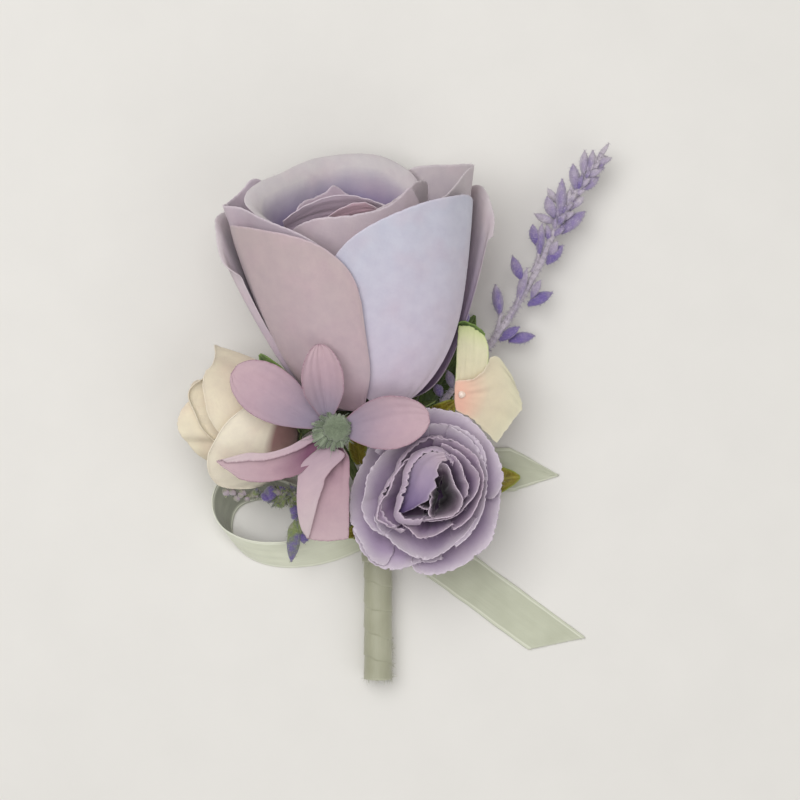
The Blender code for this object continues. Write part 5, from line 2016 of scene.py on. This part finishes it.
@dataclass(frozen=True)
class Sprig:
    """A flocked sprig: a stem, buds up it and twigs."""

    name: str
    wire: int
    route: Line
    twigs: tuple[Line, ...]
    buds: tuple[Bud, ...]
    small_buds: tuple[float, float, int, float]  # from and to along the stem, how many, tone
    finish: Finish
    stem_tone: float
    fuzz: int
    flock_from: float  # where the flock starts, as a share of the stem
    coat: float = 0.0  # how much thicker it is there
    flock: float = 16.0  # fibres for each millimetre of a bud
    points: int = 120

    def build(self, stem: StemBundle) -> None:
        """Makes the sprig as one piece.

        Args:
            stem: the bundle that it starts in.
        """
        draft = Draft(self.name)
        line = smooth_route(stem.straight(self.wire) + [list(point) for point in self.route], self.points)
        spot = np.linspace(0, 1, len(line))
        radius = WIRE * (1.0 - 0.3 * spot + self.coat * smoothstep((spot - self.flock_from) / 0.1))
        bark = rings_along(line[None], radius * (1 + 0.07 * np.sin(np.arange(len(line)) * 1.7)), 9)
        draft.solids(bark, tone=self.stem_tone)
        start = int(self.flock_from * len(line))
        draft.fuzz(bark[:, start:], self.fuzz, 0.9, 0.045, 400 + self.wire, self.stem_tone + 0.15)
        for index, twig in enumerate(self.twigs):
            path = smooth_route(twig, 16)
            twig_rings = rings_along(path[None], np.linspace(0.62, 0.42, len(path)), 7)
            draft.solids(twig_rings, tone=self.stem_tone)
            draft.fuzz(twig_rings, 160, 0.8, 0.045, 430 + index, self.stem_tone + 0.1)
        self.add_buds(draft, self.buds + self.scattered(line))
        draft.make(self.finish, Slot.FLOCK, self.name)

    def scattered(self, line: Array) -> tuple[Bud, ...]:
        """Small buds all round the stem, between the others.

        Args:
            line: points up the stem.

        Returns:
            The buds.
        """
        low, high, count, tone = self.small_buds
        draw = np.random.default_rng(450 + self.wire)
        buds = []
        for index in range(count):
            near = int((low + (high - low) * (index + 0.5) / count) * (len(line) - 2))
            run = unit(line[near + 1] - line[near])
            out = unit(np.cross([0.0, 0.0, 1.0], run))
            turn = math.radians(137.5 * index)
            round_way = out * math.cos(turn) + np.cross(run, out) * math.sin(turn)
            way = unit(run + draw.uniform(0.5, 0.9) * round_way)
            length = draw.uniform(2.2, 4.0)
            tip = line[near] + way * length
            shade = float(np.clip(draw.normal(tone, 0.22), 0, 1))
            buds.append(Bud(tuple(line[near]), tuple(tip), 0.42 * length, shade))
        return tuple(buds)

    def add_buds(self, draft: Draft, buds: Sequence[Bud]) -> None:
        """Adds buds, each with its flock.

        Args:
            draft: what takes them.
            buds: with foot, tip, width and tone.
        """
        feet, tips = (np.array([getattr(bud, end) for bud in buds]) for end in ("foot", "tip"))
        widths, tones = (np.array([getattr(bud, value) for bud in buds]) for value in ("width", "tone"))
        share = np.array([0.0, 0.08, 0.22, 0.40, 0.58, 0.74, 0.88, 1.0])
        belly = np.array([0.26, 0.42, 0.74, 0.98, 1.0, 0.80, 0.48, 0.08])
        paths = feet[:, None] + (tips - feet)[:, None] * share[None, :, None]
        rings = rings_along(paths, belly[None] * widths[:, None] / 2, 12, 3, 0.16)
        draft.solids(rings, share, tones)
        lengths = np.linalg.norm(tips - feet, axis=1)
        for index, (length, tone) in enumerate(zip(lengths, tones)):
            count = int(self.flock * length)
            draft.fuzz(rings[index : index + 1], count, 0.6, 0.04, 460 + index, tone + 0.25)


LAVENDER_BUDS = tuple(
    Bud(*row)
    for row in (
        ((24.3, 21.8, 6.8), (23.2, 28.9, 8.6), 2.5, 0.25),
        ((24.2, 16.2, 6.5), (28.7, 19.3, 7.6), 2.3, 0.0),
        ((26.3, 16.1, 6), (32.3, 17.4, 5.4), 2.6, 0.12),
        ((28.3, 24.7, 7.4), (30.4, 32.6, 9), 2.0, 0.55),
        ((29.2, 29.9, 8.4), (27, 35.2, 9.4), 2.4, 0.2), ((30.6, 24.2, 6.8), (36.2, 27.1, 7.2), 2.7, 0.0),
        ((31.4, 25.9, 7.6), (33.4, 29.8, 8.8), 1.9, 0.55),
        ((33.1, 35.3, 7.4), (33.7, 42.6, 9), 2.0, 0.45),
        ((32.6, 37.8, 7.6), (31.6, 42.5, 8.2), 2.2, 0.3),
        ((34.9, 33.6, 7.2), (38.5, 37.7, 8.4), 2.8, 0.15),
        ((35.6, 35.3, 8), (37.2, 38.6, 9.4), 1.9, 0.6),
        ((36.8, 42.9, 7.4), (32.1, 45, 7), 1.9, 0.85),
        ((36.6, 44, 7.6), (34.8, 48.8, 8.8), 2.5, 0.45),
        ((37.4, 47.4, 7.2), (35.1, 50.8, 6.8), 1.7, 0.95),
        ((38.2, 40.5, 7), (43.6, 45.5, 7.6), 2.9, 0.35),
        ((37.9, 44.3, 8), (38.2, 52.6, 10), 2.4, 0.5),
        ((40.4, 46.3, 7.2), (43.3, 48.7, 7.8), 2.0, 0.75),
        ((41.5, 50.3, 7.8), (40.7, 56.1, 9), 2.4, 0.45),
        ((42.8, 50.4, 7), (46.7, 53.3, 7.4), 2.6, 0.4), ((43.2, 53.5, 7.6), (43.4, 59.2, 8.4), 2.0, 0.7),
        ((44.6, 54.2, 7.8), (45.3, 59.2, 8.6), 1.7, 0.6),
        ((45.2, 54.6, 7.2), (48.6, 58, 7), 2.3, 0.45),
        ((46.2, 56.9, 7.4), (49, 60.9, 7.4), 1.2, 0.9), ((16.4, 19.9, 6.4), (16.5, 23, 7.6), 2.0, 0.1),
        ((11, 3.6, 5.8), (9.6, 6.2, 8.4), 2.2, 0.05), ((13.6, 5.4, 6), (12.4, 9.4, 8.2), 2.0, 0.4),
    )
)
FILLER_BUDS = tuple(
    Bud(*row)
    for row in (
        ((-29, -18.1, 11.4), (-25.8, -18, 11.6), 3.2, 0.0),
        ((-29.6, -18.4, 11.2), (-27.3, -19.7, 12), 2.3, 0.05),
        ((-32.1, -18.4, 10.8), (-29.6, -17.9, 11.2), 1.4, 0.5),
        ((-31.7, -19.1, 10.8), (-30.3, -17.1, 11.6), 1.2, 0.5),
        ((-36.6, -18.4, 11), (-38.3, -17.4, 11.2), 1.7, 0.95),
        ((-35.3, -18.6, 11.2), (-36.6, -17.2, 12), 1.5, 0.9),
        ((-34.4, -18.8, 11), (-35.8, -19.7, 10.8), 1.6, 0.75),
        ((-33, -18.6, 11.2), (-34.5, -17.4, 12), 1.5, 0.9),
        ((-32.4, -19.1, 11), (-33.3, -19.8, 10.6), 1.5, 0.8),
        ((-37.1, -18.6, 10.6), (-37.9, -18.4, 10.8), 1.4, 0.6),
        ((-33.9, -18.1, 11.6), (-34.3, -19.2, 12.4), 1.4, 0.95),
        ((-23.2, -21.6, 10.4), (-21.1, -22.4, 10.8), 2.7, 0.0),
        ((-22.9, -22.9, 10.2), (-21.4, -23.8, 10.4), 2.0, 0.08),
        ((-20.7, -27.7, 9.6), (-19.1, -29, 9.6), 2.3, 0.0),
        ((-20.5, -27, 9.8), (-20, -29.7, 9.4), 1.8, 0.05),
        ((-21.7, -24, 10.4), (-23, -33.8, 8.6), 3.0, 0.3),
        ((-22, -24.3, 10.2), (-23.7, -28.1, 9.6), 1.5, 0.5),
        ((-21.4, -24.3, 10.4), (-21, -28.4, 9.8), 1.5, 0.55),
    )
)


def tuft(centre: Point, count: int, seed: int) -> tuple[Bud, ...]:
    """Narrow green scales that stand out on all sides of a point.

    Args:
        centre: that point.
        count: how many.
        seed: for their ways and lengths.

    Returns:
        The scales, made like buds.
    """
    draw = np.random.default_rng(seed)
    middle = np.array(centre)
    ways = unit(draw.normal(0, 1, (count, 3)) * np.array([1.0, 1.0, 0.5]))
    tips = middle + ways * draw.uniform(1.6, 3.4, (count, 1))
    return tuple(Bud(tuple(middle + 0.4 * way), tuple(tip), 0.55, 0.5) for way, tip in zip(ways, tips))


@dataclass(frozen=True)
class Sprigs:
    """The lavender at the right and the filler under the cream bud."""

    def build(self, stem: StemBundle) -> None:
        """Makes both sprigs.

        Args:
            stem: the bundle that they start in.
        """
        lavender = (
            (-1.8, -22, 3.4), (3, -12, 4.2), (8, -3, 5), (12.6, 3.9, 5.8), (21.6, 14.7, 6.6),
            (28, 24.1, 7), (33.6, 34, 7.4), (38.2, 44.4, 7.6), (43.2, 52.2, 7.6), (47.8, 58.2, 7.4),
        )
        stalks = (
            ((22.3, 14.8, 6.6), (23.8, 19.2, 6.8), (24.6, 22.6, 7.2)),
            ((31.6, 31.6, 7.2), (32.6, 33.6, 7.4), (33.1, 36, 7.6)),
            ((26.6, 21.4, 7), (28, 24, 7.4), (28.8, 26.8, 8)),
        )
        small = (0.83, 0.985, 44, 0.6)
        look = (small, FLOCK, 0.85, 2600, 0.5, 0.45)
        Sprig("lavender_sprig", 5, lavender, stalks, LAVENDER_BUDS, *look).build(stem)
        filler = (
            (-7.8, -24.6, 4.6), (-12.4, -21.6, 8.4), (-17, -19.2, 10.2), (-24, -18.4, 10.6),
            (-31, -18.8, 10.2),
        )
        twigs = (
            ((-25, -17.6, 10.4), (-23.6, -19.4, 10.8), (-22.5, -21.6, 10.8), (-21.7, -24.4, 10.4)),
            ((-22.4, -18.4, 10.4), (-21.8, -20.6, 10.8), (-20.9, -23.4, 10.4), (-20.3, -27.6, 9.8)),
            ((-25.6, -18, 10.6), (-24.5, -19.3, 11.6), (-25, -21.1, 11.4), (-26.8, -20.4, 10.8)),
            ((-30.4, -18.6, 10.4), (-33.4, -18.8, 10.8), (-37.4, -18.4, 10.8)),
        )
        buds = FILLER_BUDS + tuft((-25.2, -19, 11), 34, 471) + tuft((-22.6, -18.6, 10.8), 26, 472)
        small = (0.74, 0.93, 30, 0.5)
        look = (small, FILLER_FLOCK, 0.5, 700, 0.62)
        Sprig("filler_sprig", 4, filler, twigs, buds, *look, flock=11.0).build(stem)


# ---- studio


@dataclass(frozen=True)
class Lamp:
    """A square soft light."""

    name: str
    place: Point
    size: float
    power: float


@dataclass(frozen=True)
class Studio:
    """A pale floor, soft lamps and the camera, in metres."""

    floor_colour: Colour = tint("e2e0dc")
    camera_place: Point = (0.00061, 0.00276, 0.50)
    lens: float = 97.8
    ambient: float = 0.48
    lamps: tuple[Lamp, ...] = (
        Lamp("key_lamp", (-0.16, 0.14, 0.60), 0.55, 3.0), Lamp("fill_lamp", (0.35, -0.30, 0.45), 0.60, 0.9),
    )

    def build(self) -> None:
        """Sets the floor, the lamps, the world and the camera."""
        self.build_floor()
        for lamp in self.lamps:
            light = bpy.data.lights.new(lamp.name, "AREA")
            light.shape = "SQUARE"
            light.size = lamp.size
            light.energy = lamp.power
            holder = bpy.data.objects.new(lamp.name, light)
            holder.location = lamp.place
            holder.rotation_euler = (-Vector(lamp.place)).to_track_quat("-Z", "Y").to_euler()
            bpy.context.scene.collection.objects.link(holder)
        world = bpy.data.worlds.new("studio_world")
        world.use_nodes = True
        nodes, links = world.node_tree.nodes, world.node_tree.links
        background = nodes["Background"]
        background.inputs["Color"].default_value = (*self.floor_colour, 1.0)
        path = nodes.new("ShaderNodeLightPath")
        strength = nodes.new("ShaderNodeMapRange")
        strength.inputs["To Min"].default_value = self.ambient
        strength.inputs["To Max"].default_value = 1.0
        links.new(path.outputs["Is Camera Ray"], strength.inputs["Value"])
        links.new(strength.outputs["Result"], background.inputs["Strength"])
        bpy.context.scene.world = world
        camera = bpy.data.cameras.new("overhead_camera")
        camera.lens = self.lens
        camera.sensor_width = 36.0
        camera.clip_start = 0.01
        holder = bpy.data.objects.new("overhead_camera", camera)
        holder.location = self.camera_place
        bpy.context.scene.collection.objects.link(holder)
        bpy.context.scene.camera = holder
        bpy.context.scene.view_settings.view_transform = "Standard"

    def build_floor(self) -> None:
        """A wide plain slab just under the corsage."""
        half, depth = 2.0, 0.01
        spots = [(x, y, z) for z in (-depth, -0.00002) for y in (-half, half) for x in (-half, half)]
        faces = [(0, 2, 3, 1), (4, 5, 7, 6), (0, 1, 5, 4), (2, 6, 7, 3), (0, 4, 6, 2), (1, 3, 7, 5)]
        mesh = bpy.data.meshes.new("floor")
        mesh.from_pydata(spots, [], faces)
        mesh.materials.append(material_of(FloorFinish("pale_floor", self.floor_colour)))
        floor = bpy.data.objects.new("floor", mesh)
        bpy.context.scene.collection.objects.link(floor)


def main() -> None:
    """Builds the corsage, one sub-assembly after another."""
    logging.basicConfig(level=logging.INFO, format="%(name)s: %(message)s", stream=sys.stdout)
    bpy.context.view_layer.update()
    Studio().build()
    stem = StemBundle()
    rose, ranunculus, cream, star, peach = Rose(), Ranunculus(), CreamBud(), StarFlower(), PeachFlower()
    for part in (rose, ranunculus, cream, star, peach, Leaves(), Ribbons()):
        part.build()
    Sprigs().build(stem)
    stem.build_wires(
        [
            ("wire_rose", 0, rose.frame, 4.0, (-3.2, -18, 6)),
            ("wire_ranunculus", 1, ranunculus.frame, 2.6, (3, -21.6, 7)),
            ("wire_star", 2, Frame(star.centre, 90.0, 90.0), 2.4, (-8, -16, 12)),
            ("wire_cream", 3, cream.frame, 3.4, (-8.4, -13.6, 10)),
            ("wire_peach", 6, peach.frame, 3.0, (5, -13.6, 6.4)),
        ]
    )
    stem.build_wraps()


if __name__ == "__main__":
    main()
